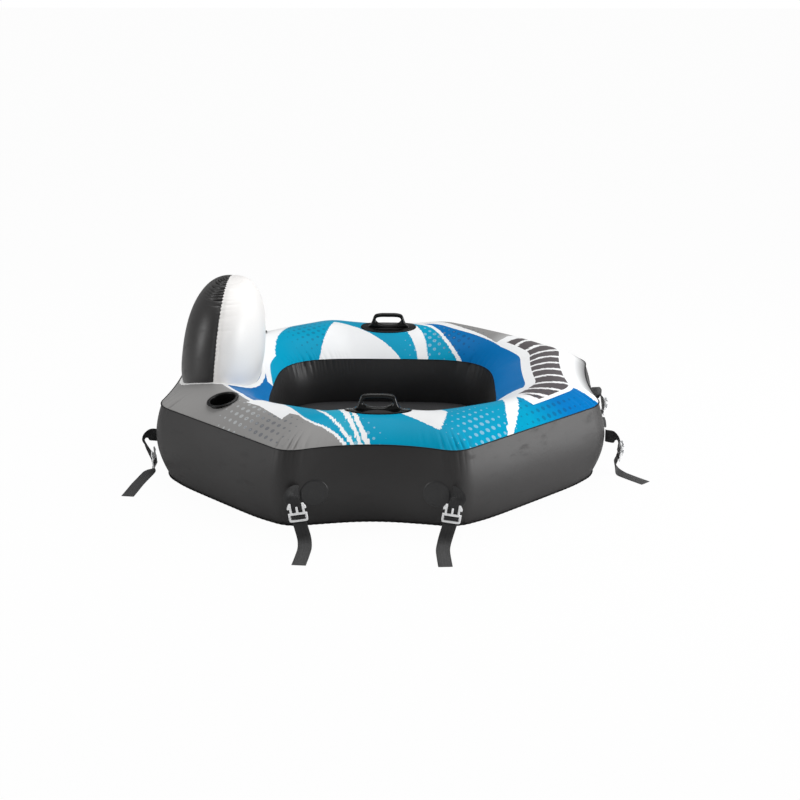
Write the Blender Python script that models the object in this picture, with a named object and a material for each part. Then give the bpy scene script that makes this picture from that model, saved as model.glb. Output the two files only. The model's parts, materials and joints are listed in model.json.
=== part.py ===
"""A lounge river tube: an inflatable eight-cornered ring with a seat well, a headrest, two carry
handles, two cup holders, two valves, and eight joining straps that each end in half a buckle.

Metres, +Z up. +X points to the foot end, -X to the headrest, and the ring rests on z = 0.
"""

import math

import bmesh
import bpy
import numpy as np
from mathutils import Matrix, Vector
from mathutils.bvhtree import BVHTree

# Plan of the outer seam: half the corners, the other half are mirrored in Y
FOOT_CORNER = (0.655, 0.222)
SIDE_FOOT_CORNER = (0.224, 0.628)
SIDE_HEAD_CORNER = (-0.242, 0.638)
HEAD_CORNER = (-0.659, 0.262)
SIDE_SAG = 0.058
END_SAG = 0.022
CORNER_CUT = 0.052
EDGE_STEPS = 5
CORNER_STEPS = 3

# Plan of the well
WELL_X = 0.348
WELL_Y = 0.300
WELL_POWER = 4.0

# Section of the ring
OUTER_SEAM_Z = 0.231
INNER_SEAM_Z = 0.205
TOP_RISE = 0.064
TOP_ROWS = 7
WALL_BULGE = 0.024
WALL_ROWS = 6
WELL_BULGE = 0.018
WELL_MIDDLE_Z = 0.132
FLOOR_SEAM_Z = 0.006
BOTTOM_INSET = 0.030
SKIN = 0.0015
GAP = 0.0003

# Well floor
WELL_FLOOR_Z = 0.060
WELL_FLOOR_THICK = 0.0015

# Headrest
REST_HALF_WIDTH = 0.211
REST_DEPTH = 0.124
REST_FOOT_Z = 0.225
REST_BASE_Z = 0.265
REST_TOP_Z = 0.556
REST_SEAM_FOOT_X = -0.504
REST_SEAM_TOP_X = -0.471
REST_AROUND = 18
REST_UP = 10
REST_FLANGE_OUT = 0.010
REST_FLANGE_THICK = 0.0012

# Cup holders
CUP_X = -0.452
CUP_Y = 0.343
CUP_TILT = math.radians(13)
CUP_BORE = 0.0375
CUP_WALL = 0.0022
CUP_DEPTH = 0.045
CUP_RIM = 0.0475
CUP_RIM_UP = 0.0032
CUP_STEPS = 20

# Carry handles
HANDLE_Y = 0.432
HANDLE_FOOT = (0.095, 0.041)
HANDLE_FOOT_THICK = 0.0026
HANDLE_RISE = 0.047
HANDLE_ARCH_HALF = 0.064
HANDLE_BAR_HALF = 0.041
HANDLE_DEPTH_FOOT = 0.013
HANDLE_DEPTH_BAR = 0.0075

# Weld patches and webbing
PATCH_RADIUS = 0.040
PATCH_THICK = 0.0012
PATCH_ALONG_SIDE = 0.168
PATCH_ALONG_END = 0.158
WEB_WIDTH = 0.038
WEB_THICK = 0.0016
WEB_STEPS = 2
ROOT_LIFT = 0.0021
ROOT_PRESSED = 0.3

# Buckles
BUCKLE_HALF_WIDTH = 0.026
BUCKLE_SLOT_HALF = 0.0202
BUCKLE_BAR = 0.00175
BUCKLE_SLOT = 0.0054
BUCKLE_END = 0.0060
BUCKLE_HALF_THICK = 0.0023
PRONG_LENGTH = 0.029
BODY_LENGTH = 0.029
BODY_HALF_THICK = 0.0060
BODY_WALL = 0.0018

# Valves
VALVE_FLANGE = 0.019
VALVE_FLANGE_THICK = 0.0012
VALVE_STEM = 0.0085
VALVE_BORE = 0.0060
VALVE_STEM_UP = 0.011
VALVE_CAP_SKIRT = 0.0108
VALVE_CAP_TOP = 0.0022
VALVE_HINGE_OUT = 0.0150
VALVE_TETHER_HALF = 0.0030
VALVE_LUG_THICK = 0.0022
VALVE_PLUG_LENGTH = 0.0034
VALVE_PLUG_TAPER = 0.0009
VALVE_PLUG_CLEAR = 0.0005
VALVE_STEPS = 16
MAIN_VALVE_Z = 0.125
REST_VALVE_IN = 0.126
REST_VALVE_UP = 0.095

SMOOTH_ANGLE = math.radians(32)
FLAT_ANGLE = math.radians(0.4)


def clear_scene():
    for obj in list(bpy.data.objects):
        bpy.data.objects.remove(obj, do_unlink=True)


def material(name, colour, roughness, metallic=0.0):
    made = bpy.data.materials.new(name)
    made.use_nodes = True
    shader = made.node_tree.nodes["Principled BSDF"]
    shader.inputs["Base Color"].default_value = (*colour, 1.0)
    shader.inputs["Roughness"].default_value = roughness
    shader.inputs["Metallic"].default_value = metallic
    made.diffuse_color = (*colour, 1.0)
    return made


def mesh_object(name, points, faces, skin, origin=(0.0, 0.0, 0.0)):
    """A closed mesh given in world coordinates, with its origin at the point asked for."""
    mesh = bpy.data.meshes.new(name)
    mesh.from_pydata([tuple(np.subtract(p, origin)) for p in points], [], [tuple(f) for f in faces])
    shape = bmesh.new()
    shape.from_mesh(mesh)
    bmesh.ops.remove_doubles(shape, verts=shape.verts, dist=1e-7)
    bmesh.ops.recalc_face_normals(shape, faces=shape.faces)
    if shape.calc_volume(signed=True) < 0:
        bmesh.ops.reverse_faces(shape, faces=shape.faces)
    shape.to_mesh(mesh)
    shape.free()
    obj = bpy.data.objects.new(name, mesh)
    obj.location = origin
    bpy.context.collection.objects.link(obj)
    if skin:
        mesh.materials.append(skin)
    return obj


def finish(obj, skin=None):
    if skin:
        obj.data.materials.clear()
        obj.data.materials.append(skin)
    obj.data.shade_smooth()
    obj.data.set_sharp_from_angle(angle=SMOOTH_ANGLE)
    return obj


def combine(obj, tool, operation):
    """Unites, cuts or intersects a solid with a second one, which is used up. Flat triangles keep the cut exact."""
    for each in (obj, tool):
        shape = bmesh.new()
        shape.from_mesh(each.data)
        bmesh.ops.triangulate(shape, faces=shape.faces)
        shape.to_mesh(each.data)
        shape.free()
    step = obj.modifiers.new("combine", "BOOLEAN")
    step.operation = operation
    step.solver = "EXACT"
    step.object = tool
    bpy.context.view_layer.update()
    graph = bpy.context.evaluated_depsgraph_get()
    made = bpy.data.meshes.new_from_object(obj.evaluated_get(graph))
    obj.modifiers.clear()
    obj.data = made
    bpy.data.objects.remove(tool, do_unlink=True)
    shape = bmesh.new()
    shape.from_mesh(made)
    bmesh.ops.remove_doubles(shape, verts=shape.verts, dist=2e-6)
    bmesh.ops.dissolve_limit(shape, angle_limit=FLAT_ANGLE, verts=shape.verts, edges=shape.edges)
    shape.to_mesh(made)
    shape.free()
    return obj


def grid_solid(name, outside, inside, skin, ring=True, origin=(0.0, 0.0, 0.0)):
    """A closed skin between two grids of points, stations by rows; a ring joins its last station to its first."""
    stations, rows = outside.shape[:2]
    points = np.concatenate([outside.reshape(-1, 3), inside.reshape(-1, 3)])
    second = stations * rows

    def at(station, row, layer):
        return (station % stations) * rows + row + layer * second

    faces = []
    for i in range(stations if ring else stations - 1):
        for j in range(rows - 1):
            for layer in (0, 1):
                quad = [at(i, j, layer), at(i + 1, j, layer), at(i + 1, j + 1, layer), at(i, j + 1, layer)]
                faces.append(quad[::-1] if layer else quad)
        for j in (0, rows - 1):
            faces.append([at(i, j, 0), at(i + 1, j, 0), at(i + 1, j, 1), at(i, j, 1)])
    if not ring:
        for i in (0, stations - 1):
            for j in range(rows - 1):
                faces.append([at(i, j, 0), at(i, j + 1, 0), at(i, j + 1, 1), at(i, j, 1)])
    return mesh_object(name, points, faces, skin, origin)


def prism(name, outline, frame, low, high):
    """A straight-sided cutter: an outline in the frame's own plane, from low to high along its axis."""
    count = len(outline)
    points = [frame @ Vector((a, b, level)) for level in (low, high) for a, b in outline]
    faces = [list(range(count))[::-1], list(range(count, 2 * count))]
    faces += [[i, (i + 1) % count, count + (i + 1) % count, count + i] for i in range(count)]
    return mesh_object(name, points, faces, None)


def ellipse(half_a, half_b, steps, power=2.0):
    out = []
    for i in range(steps):
        angle = 2 * math.pi * i / steps
        c, s = math.cos(angle), math.sin(angle)
        out.append((
            half_a * math.copysign(abs(c) ** (2 / power), c),
            half_b * math.copysign(abs(s) ** (2 / power), s),
        ))
    return out


def revolve(name, profile, frame, steps, skin=None, origin=(0.0, 0.0, 0.0)):
    """A closed profile of (radius, height) turned round the frame's axis; radius 0 points close it."""
    points, faces, rings = [], [], []
    for radius, height in profile:
        if radius < 1e-9:
            rings.append([len(points)] * steps)
            points.append(frame @ Vector((0.0, 0.0, height)))
            continue
        rings.append(list(range(len(points), len(points) + steps)))
        for i in range(steps):
            angle = 2 * math.pi * i / steps
            points.append(frame @ Vector((radius * math.cos(angle), radius * math.sin(angle), height)))
    closed = profile[0][0] > 1e-9
    pairs = list(zip(rings, rings[1:]))
    if closed:
        pairs.append((rings[-1], rings[0]))
    for one, two in pairs:
        for i in range(steps):
            j = (i + 1) % steps
            face = [one[i], one[j], two[j], two[i]]
            face = [v for n, v in enumerate(face) if v not in face[:n]]
            if len(face) > 2:
                faces.append(face)
    return mesh_object(name, points, faces, skin, origin)


def box(name, frame, low, high):
    outline = [(low[0], low[1]), (high[0], low[1]), (high[0], high[1]), (low[0], high[1])]
    return prism(name, outline, frame, low[2], high[2])


# Plan curves
def plan_stations():
    """Points of the outer seam, counter-clockwise from the foot end, with rounded corners and drawn-in edges."""
    half = [FOOT_CORNER, SIDE_FOOT_CORNER, SIDE_HEAD_CORNER, HEAD_CORNER]
    corners = [np.array(p) for p in half] + [np.array((x, -y)) for x, y in reversed(half)]
    sags = [0.0, SIDE_SAG, 0.0, END_SAG, 0.0, SIDE_SAG, 0.0, END_SAG]
    edges = []
    for i, sag in enumerate(sags):
        start, end = corners[i], corners[(i + 1) % 8]
        along = end - start
        length = np.linalg.norm(along)
        inward = np.array((-along[1], along[0])) / length
        edges.append((start, along, inward, sag, CORNER_CUT / length))

    def on_edge(edge, t):
        start, along, inward, sag, _ = edge
        return start + along * t + inward * sag * 4 * t * (1 - t)

    points = []
    for i, edge in enumerate(edges):
        cut = edge[4]
        for j in range(EDGE_STEPS):
            points.append(on_edge(edge, cut + (1 - 2 * cut) * j / EDGE_STEPS))
        after = edges[(i + 1) % 8]
        leave, enter = on_edge(edge, 1 - cut), on_edge(after, after[4])
        middle = corners[(i + 1) % 8]
        for j in range(CORNER_STEPS):
            t = j / CORNER_STEPS
            points.append((1 - t) ** 2 * leave + 2 * t * (1 - t) * middle + t * t * enter)
    return points


def well_radius(angle):
    c, s = abs(math.cos(angle)), abs(math.sin(angle))
    return ((c / WELL_X) ** WELL_POWER + (s / WELL_Y) ** WELL_POWER) ** (-1 / WELL_POWER)


def section(outer, inner):
    """One closed section of the ring as (radius, height): over the top, down the well, along the floor, up the wall."""
    loop = []
    for j in range(TOP_ROWS):
        t = j / TOP_ROWS
        loop.append((
            outer + (inner - outer) * t,
            OUTER_SEAM_Z + (INNER_SEAM_Z - OUTER_SEAM_Z) * t + TOP_RISE * math.sin(math.pi * t) ** 0.9,
        ))
    drop = INNER_SEAM_Z - FLOOR_SEAM_Z
    for z in (INNER_SEAM_Z, WELL_MIDDLE_Z, WELL_FLOOR_Z):
        loop.append((inner - WELL_BULGE * math.sin(math.pi * (INNER_SEAM_Z - z) / drop), z))
    loop.append((inner, FLOOR_SEAM_Z))
    loop.append((inner + BOTTOM_INSET, 0.0))
    loop.append((outer - BOTTOM_INSET, 0.0))
    rise = OUTER_SEAM_Z - FLOOR_SEAM_Z
    for j in range(WALL_ROWS):
        t = j / WALL_ROWS
        loop.append((outer + WALL_BULGE * math.sin(math.pi * t) + 0.004 * (1 - t), FLOOR_SEAM_Z + rise * t))
    return np.array(loop)


WELL_SEAM = TOP_ROWS
FLOOR_LINE = TOP_ROWS + 2
INNER_FLOOR_SEAM = TOP_ROWS + 3
OUTER_FLOOR_SEAM = TOP_ROWS + 6


def ring_grids():
    """Every section as points in space, with the outward mitre of each point: (station, point, xyz)."""
    surface, mitre, angles = [], [], []
    for x, y in plan_stations():
        angle = math.atan2(y, x)
        loop = section(math.hypot(x, y), well_radius(angle))
        ahead = np.roll(loop, -1, axis=0) - loop
        ahead /= np.linalg.norm(ahead, axis=1)[:, None]
        out_after = np.stack([-ahead[:, 1], ahead[:, 0]], axis=1)
        out_after *= -np.sign(np.sum((loop.mean(axis=0) - loop) * out_after, axis=1).sum())
        out_before = np.roll(out_after, 1, axis=0)
        bisector = out_after + out_before
        bisector /= np.linalg.norm(bisector, axis=1)[:, None]
        bisector /= np.sum(bisector * out_after, axis=1)[:, None]
        ray = np.array((math.cos(angle), math.sin(angle)))
        surface.append(np.column_stack([loop[:, :1] * ray, loop[:, 1]]))
        mitre.append(np.column_stack([bisector[:, :1] * ray, bisector[:, 1]]))
        angles.append(angle)
    return np.array(surface), np.array(mitre), np.array(angles)


def rows_of(first, last):
    count = SURFACE.shape[1]
    return [j % count for j in range(first, last + 1)]


def pulled_in(grid):
    """The same grid with its first and last row drawn back by half the seam gap."""
    grid = grid.copy()
    for end, after in ((0, 1), (-1, -2)):
        step = grid[:, after] - grid[:, end]
        grid[:, end] += step / np.linalg.norm(step, axis=1)[:, None] * GAP * 0.7
    return grid


def panel(name, first, last, skin):
    rows = rows_of(first, last)
    outside = SURFACE[:, rows]
    inside = outside - SKIN * MITRE[:, rows]
    return grid_solid(name, pulled_in(outside), pulled_in(inside), skin)


def layer(name, first, last, near_angle, spread, low, high, skin=None):
    """The region between two heights above part of the ring's skin, following its facets."""
    turn = (ANGLES - near_angle + math.pi) % (2 * math.pi) - math.pi
    chosen = np.flatnonzero(np.abs(turn) < spread)
    chosen = chosen[np.argsort(turn[chosen])]
    rows = rows_of(first, last)
    base, up = SURFACE[chosen][:, rows], MITRE[chosen][:, rows]
    return grid_solid(name, base + high * up, base + low * up, skin, ring=False)


def tree_of(obj):
    shape = bmesh.new()
    shape.from_mesh(obj.data)
    shape.transform(obj.matrix_world)
    tree = BVHTree.FromBMesh(shape)
    shape.free()
    return tree


def frame_at(tree, start, aim, up, reach=0.018):
    """A frame on the skin where a ray from start along aim meets it: z along the normal, y as near to up as it can be."""
    aim = Vector(aim).normalized()
    across = aim.cross(Vector(up)).normalized()
    lift = across.cross(aim).normalized()
    hits = []
    for a, b in ((0, 0), (-1, 0), (1, 0), (0, -1), (0, 1)):
        hits.append(tree.ray_cast(Vector(start) + (across * a + lift * b) * reach, aim)[0])
    normal = (hits[2] - hits[1]).cross(hits[4] - hits[3]).normalized()
    if normal.dot(aim) > 0:
        normal = -normal
    y_axis = (lift - normal * lift.dot(normal)).normalized()
    x_axis = y_axis.cross(normal)
    turn = Matrix((x_axis, y_axis, normal)).transposed().to_4x4()
    return Matrix.Translation(hits[0]) @ turn


# Headrest
def rest_slice(height):
    """Half width, depth and seam position of the headrest at a height."""
    s = max(0.0, (height - REST_BASE_Z) / (REST_TOP_Z - REST_BASE_Z))
    part = max(0.0, 1 - s ** 3)
    under = max(0.0, min(1.0, (REST_BASE_Z + 0.05 - height) / 0.09))
    seam = REST_SEAM_FOOT_X + (REST_SEAM_TOP_X - REST_SEAM_FOOT_X) * s
    return (
        (REST_HALF_WIDTH - 0.012 * under ** 2) * part ** 0.46,
        (REST_DEPTH - 0.012 * under ** 2) * part ** (1 / 2.4),
        seam,
    )


def rest_half(name, side, skin):
    """One inflated half of the headrest, a skin from the seam round to the other seam, closed over the top."""
    outside, inside = [], []
    for i in range(REST_AROUND + 1):
        angle = math.pi * i / REST_AROUND
        column_out, column_in = [], []
        for j in range(REST_UP + 1):
            t = j / REST_UP
            height = REST_FOOT_Z + (REST_TOP_Z - REST_FOOT_Z) * math.sin(0.5 * math.pi * t) ** 0.85
            width, depth, seam = rest_slice(height)
            c, s = math.cos(angle), math.sin(angle)
            y = -width * math.copysign(abs(c) ** 0.86, c)
            x = seam + side * (depth * s ** 0.86 + GAP / 2)
            column_out.append((x, y, height))
            inner_width = max(width - SKIN, 0.0)
            inner_depth = max(depth - SKIN, 0.0)
            top = SKIN * t ** 6
            y = -inner_width * math.copysign(abs(c) ** 0.86, c)
            x = seam + side * (inner_depth * s ** 0.86 + GAP / 2)
            column_in.append((x, y, height - top))
        outside.append(column_out)
        inside.append(column_in)
    obj = grid_solid(name, np.array(outside), np.array(inside), skin, ring=False)
    stand = layer("stand", 0, WELL_SEAM, math.pi, 0.75, GAP * 2 + REST_FLANGE_THICK, 0.32)
    return combine(obj, stand, "INTERSECT")


def rest_flange(name, skin):
    obj = layer(name, 0, WELL_SEAM, math.pi, 0.75, GAP, GAP + REST_FLANGE_THICK, skin)
    width, depth, seam = rest_slice(REST_BASE_Z)
    outline = ellipse(depth + REST_FLANGE_OUT, width + REST_FLANGE_OUT, 36, power=2.3)
    frame = Matrix.Translation((seam, 0.0, 0.0))
    return combine(obj, prism("edge", outline, frame, 0.1, 0.4), "INTERSECT")


# Cup holder
def cup_holder(name, side, skin):
    """A deep round cup with a rim and a collar that follows the skin, and the hole it needs."""
    x, y = CUP_X, side * CUP_Y
    aim = Vector((0.0, 0.0, -1.0))
    hit = TOP_TREE.ray_cast(Vector((x, y, 0.6)), aim)[0]
    lean = Matrix.Rotation(CUP_TILT, 4, Vector((-y, x, 0.0)).normalized())
    frame = Matrix.Translation(hit) @ lean
    barrel = CUP_BORE + CUP_WALL
    rim = CUP_RIM
    up = CUP_RIM_UP
    floor = up - CUP_DEPTH
    profile = [
        (0.0, floor - CUP_WALL),
        (barrel - 0.006, floor - CUP_WALL),
        (barrel, floor + 0.004),
        (barrel, -0.030),
        (rim, -0.030),
        (rim, up - 0.0012),
        (rim - 0.0012, up),
        (CUP_BORE + 0.0014, up),
        (CUP_BORE, up - 0.0014),
        (CUP_BORE, floor + 0.006),
        (CUP_BORE - 0.006, floor),
        (0.0070, floor + 0.0012),
        (0.0055, floor + 0.0030),
        (0.0, floor + 0.0034),
    ]
    cup = revolve(name, profile, frame, CUP_STEPS, skin)
    over = layer("over", 0, WELL_SEAM, math.atan2(y, x), 0.5, GAP, 0.05)
    core = prism("core", ellipse(barrel + 0.00005, barrel + 0.00005, CUP_STEPS), frame, -0.1, up - 0.0015)
    keep = combine(core, over, "UNION")
    cup = combine(cup, keep, "INTERSECT")
    hole = prism("hole", ellipse(barrel + 2 * GAP, barrel + 2 * GAP, CUP_STEPS), frame, -0.03, 0.03)
    return cup, hole


# Carry handle
def arch_outline():
    """Outer and inner points of the arch, in pairs round it, for the half at +X from the saddle up to the bar."""
    base, bar, rise = HANDLE_ARCH_HALF, HANDLE_BAR_HALF, HANDLE_RISE
    outer = [(0.0, -0.004), (0.5 * base, -0.004), (base, -0.003), (0.92 * base, 0.15 * rise)]
    outer += [(0.80 * base, 0.40 * rise), (1.07 * bar, 0.68 * rise), (bar, 0.86 * rise)]
    outer += [(0.82 * bar, 0.97 * rise), (0.45 * bar, rise), (0.0, 1.01 * rise)]
    inner = [(0.0, 0.0045), (0.40 * base, 0.006), (0.60 * base, 0.011), (0.62 * base, 0.30 * rise)]
    inner += [(0.56 * base, 0.50 * rise), (0.76 * bar, 0.66 * rise), (0.68 * bar, 0.72 * rise)]
    inner += [(0.60 * bar, 0.745 * rise), (0.35 * bar, 0.755 * rise), (0.0, 0.76 * rise)]
    return outer, inner


def handle(name, side, skin):
    """A moulded handle: an oval foot that follows the skin, ribs at both ends of it, and an arch with a finger opening."""
    frame = frame_at(TOP_TREE, (0.0, side * HANDLE_Y, 0.6), (0.0, 0.0, -1.0), (0.0, 1.0, 0.0))
    centre = frame.translation
    near = math.atan2(side, 0.0)
    foot = layer(name, 0, WELL_SEAM, near, 0.6, GAP, GAP + HANDLE_FOOT_THICK)
    upright = Matrix.Translation((centre.x, centre.y, 0.0))
    foot = combine(foot, prism("edge", ellipse(*HANDLE_FOOT, 40, power=2.2), upright, 0.1, 0.5), "INTERSECT")
    outer, inner = arch_outline()
    outer += [(-x, z) for x, z in outer[-2:0:-1]]
    inner += [(-x, z) for x, z in inner[-2:0:-1]]
    stations = []
    around = 8
    for (ox, oz), (ix, iz) in zip(outer, inner):
        mid = np.array(((ox + ix) / 2, (oz + iz) / 2))
        half = np.array(((ox - ix) / 2, (oz - iz) / 2))
        lift = min(1.0, max(0.0, mid[1] / HANDLE_RISE))
        deep = HANDLE_DEPTH_FOOT + (HANDLE_DEPTH_BAR - HANDLE_DEPTH_FOOT) * lift ** 0.6
        ring = []
        for a, b in ellipse(1.0, 1.0, around, power=2.7):
            x, z = mid + half * a
            ring.append((centre.x + x, centre.y + deep * b, centre.z + z))
        stations.append(ring)
    count = len(stations)
    points = np.array(stations).reshape(-1, 3)
    faces = []
    for i in range(count):
        for j in range(around):
            a, b = i * around, ((i + 1) % count) * around
            k = (j + 1) % around
            faces.append([a + j, b + j, b + k, a + k])
    arch = mesh_object("arch", points, faces, None)
    over = layer("over", 0, WELL_SEAM, near, 0.6, GAP + 0.4 * HANDLE_FOOT_THICK, 0.10)
    arch = combine(arch, over, "INTERSECT")
    foot = combine(foot, arch, "UNION")
    for end in (-1, 1):
        for i in range(4):
            x = centre.x + end * (HANDLE_FOOT[0] * 0.72 + i * 0.0055)
            reach = HANDLE_FOOT[1] * math.sqrt(max(0.05, 1 - ((x - centre.x) / HANDLE_FOOT[0]) ** 2)) * 0.8
            rib = layer("rib", 0, WELL_SEAM, near, 0.6, GAP + 0.4 * HANDLE_FOOT_THICK, GAP + HANDLE_FOOT_THICK + 0.0011)
            cut = box("cut", Matrix.Translation((x, centre.y, 0.0)), (-0.0011, -reach, 0.1), (0.0011, reach, 0.5))
            foot = combine(foot, combine(rib, cut, "INTERSECT"), "UNION")
    return finish(foot, skin)


# Weld patches
def patch(name, frame, skin):
    near = math.atan2(frame.translation.y, frame.translation.x)
    obj = layer(name, OUTER_FLOOR_SEAM, OUTER_FLOOR_SEAM + WALL_ROWS, near, 0.32, GAP, GAP + PATCH_THICK)
    disc = prism("edge", ellipse(PATCH_RADIUS, PATCH_RADIUS, 24), frame, -0.03, 0.03)
    return finish(combine(obj, disc, "INTERSECT"), skin)


# Webbing
def smooth_path(points, steps):
    """Points on a Catmull-Rom curve through the given ones."""
    points = np.array(points, float)
    padded = np.vstack([2 * points[0] - points[1], points, 2 * points[-1] - points[-2]])
    out = []
    for i in range(1, len(padded) - 2):
        p0, p1, p2, p3 = padded[i - 1:i + 3]
        for j in range(steps):
            t = j / steps
            out.append(0.5 * (2 * p1 + (p2 - p0) * t + (2 * p0 - 5 * p1 + 4 * p2 - p3) * t * t
                              + (3 * p1 - p0 - 3 * p2 + p3) * t ** 3))
    out.append(points[-1])
    return np.array(out)


def webbing(name, centres, widths, skin, origin):
    """A flat strap along a path; each station has its own width direction."""
    step = np.gradient(centres, axis=0)
    step /= np.linalg.norm(step, axis=1)[:, None]
    widths = widths - step * np.sum(widths * step, axis=1)[:, None]
    widths /= np.linalg.norm(widths, axis=1)[:, None]
    room = np.clip((centres[:, 2] - WEB_THICK / 2) / (WEB_WIDTH / 2), 0.0, 1.0)
    widths[:, 2] = np.clip(widths[:, 2], -room, room)
    flat = np.linalg.norm(widths[:, :2], axis=1)
    widths[:, :2] *= (np.sqrt(1 - widths[:, 2] ** 2) / np.maximum(flat, 1e-9))[:, None]
    thick = np.cross(step, widths)
    thick /= np.linalg.norm(thick, axis=1)[:, None]
    sections = []
    for i, (centre, across, out) in enumerate(zip(centres, widths, thick)):
        # The root edge is pressed thin, so that the strap can swing at the patch's rim
        half, rise = across * WEB_WIDTH / 2, out * WEB_THICK / 2 * (1.0 if i else ROOT_PRESSED)
        sections.append([centre - half - rise, centre + half - rise, centre + half + rise, centre - half + rise])
    points = np.array(sections).reshape(-1, 3)
    faces = [[0, 1, 2, 3], [len(points) - 4 + i for i in (3, 2, 1, 0)]]
    for i in range(len(sections) - 1):
        # Both faces of the webbing fold along the same diagonal, so that its thickness stays even in a twist
        here, there = sections[i], sections[i + 1]
        a, b = 4 * i, 4 * i + 4
        if (here[0] - there[1]).dot(here[0] - there[1]) < (there[0] - here[1]).dot(there[0] - here[1]):
            faces += [[a, b, b + 1], [a, b + 1, a + 1], [a + 2, b + 2, a + 3], [b + 2, b + 3, a + 3]]
        else:
            faces += [[a, b, a + 1], [b, b + 1, a + 1], [a + 2, b + 2, b + 3], [a + 2, b + 3, a + 3]]
        faces += [[a + 1, b + 1, b + 2, a + 2], [a + 3, b + 3, b, a]]
    return finish(mesh_object(name, points, faces, skin, origin))


# Path of each kind of strap, from the patch to the tail: along the edge away from its middle, outward, up.
# The buckle sits at BUCKLE_AT with its prongs or mouth along BUCKLE_UP and its face along BUCKLE_FACE.
STRAPS = {
    "side": {
        "height": 0.106,
        "lift": 0.012,
        "rim_gap": 0.0006,
        "curl": [(0.0520, 0.0280, 0.124), (0.0590, 0.0400, 0.117), (0.0530, 0.0460, 0.101)],
        "widths": [(0.0, 0.1, 1.0), (0.55, -0.2, 0.75), (0.95, -0.15, 0.15)],
        "buckle": (0.0380, 0.0540, 0.0610),
        "up": (0.14, 0.10, 1.0),
        "face": (0.0, 1.0, 0.10),
        "tail": [(0.0300, 0.0570, 0.0300), (0.0230, 0.0660, 0.0090), (0.0190, 0.0860, 0.0014),
                 (0.0160, 0.1250, 0.0008), (0.0180, 0.1700, 0.0008), (0.0220, 0.2250, 0.0008)],
        "ends": (1.0, 0.0, 0.0),
    },
    "head": {
        "height": 0.115,
        "lift": 0.0,
        "rim_gap": 0.0000,
        "curl": [(0.0520, 0.0250, 0.118), (0.0590, 0.0420, 0.112), (0.0550, 0.0460, 0.091)],
        "widths": [(0.0, 0.1, 1.0), (0.55, -0.2, 0.75), (0.95, -0.15, 0.15)],
        "buckle": (0.0470, 0.0220, 0.0290),
        "up": (0.04, 0.06, 1.0),
        "face": (0.0, -1.0, 0.0),
        "tail": [(0.0500, 0.0300, 0.0050), (0.0680, 0.0370, 0.0012), (0.1150, 0.0450, 0.0008),
                 (0.1600, 0.0520, 0.0008), (0.2080, 0.0570, 0.0008), (0.2520, 0.0620, 0.0008)],
        "ends": (-0.14, 1.0, 0.0),
    },
    "foot": {
        "height": 0.125,
        "lift": 0.0,
        "rim_gap": 0.0000,
        "curl": [(0.0520, 0.0240, 0.124), (0.0590, 0.0380, 0.118), (0.0550, 0.0440, 0.100)],
        "widths": [(0.0, 0.1, 1.0), (0.55, -0.2, 0.75), (0.95, -0.15, 0.15)],
        "buckle": (0.0460, 0.0480, 0.0660),
        "up": (0.05, 0.10, 1.0),
        "face": (0.0, 1.0, -0.05),
        "tail": [(0.0420, 0.0370, 0.0330), (0.0380, 0.0450, 0.0110), (0.0450, 0.0600, 0.0014),
                 (0.0680, 0.0800, 0.0008), (0.0900, 0.1000, 0.0008), (0.1130, 0.1220, 0.0008)],
        "ends": (0.7, -0.7, 0.0),
    },
}
# On the far side the webbing hangs closer to the wall, and its tail lies along it
HANGING_HEAD = {
    "curl": [(0.0520, 0.0190, 0.112), (0.0585, 0.0290, 0.099), (0.0555, 0.0340, 0.080)],
}
HANGING_FOOT = {
    "tail": [(0.0440, 0.0400, 0.0330), (0.0500, 0.0420, 0.0110), (0.0660, 0.0450, 0.0014),
             (0.0960, 0.0480, 0.0008), (0.1260, 0.0500, 0.0008), (0.1560, 0.0500, 0.0008)],
    "ends": (0.05, -1.0, 0.0),
}
STRAPS["head_hanging"] = {**STRAPS["head"], **HANGING_HEAD}
STRAPS["foot_hanging"] = {**STRAPS["foot"], **HANGING_FOOT}

# How the webbing runs past the inner bar, in the buckle's own (face, up) plane
THREAD = [(-0.0044, 0.0150), (-0.0044, 0.0085), (-0.0026, 0.0050), (0.0002, 0.0036),
          (0.0027, 0.0027), (0.0032, 0.0000), (0.0027, -0.0027), (0.0002, -0.0036),
          (-0.0026, -0.0050), (-0.0044, -0.0085), (-0.0046, -0.0140)]


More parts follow.
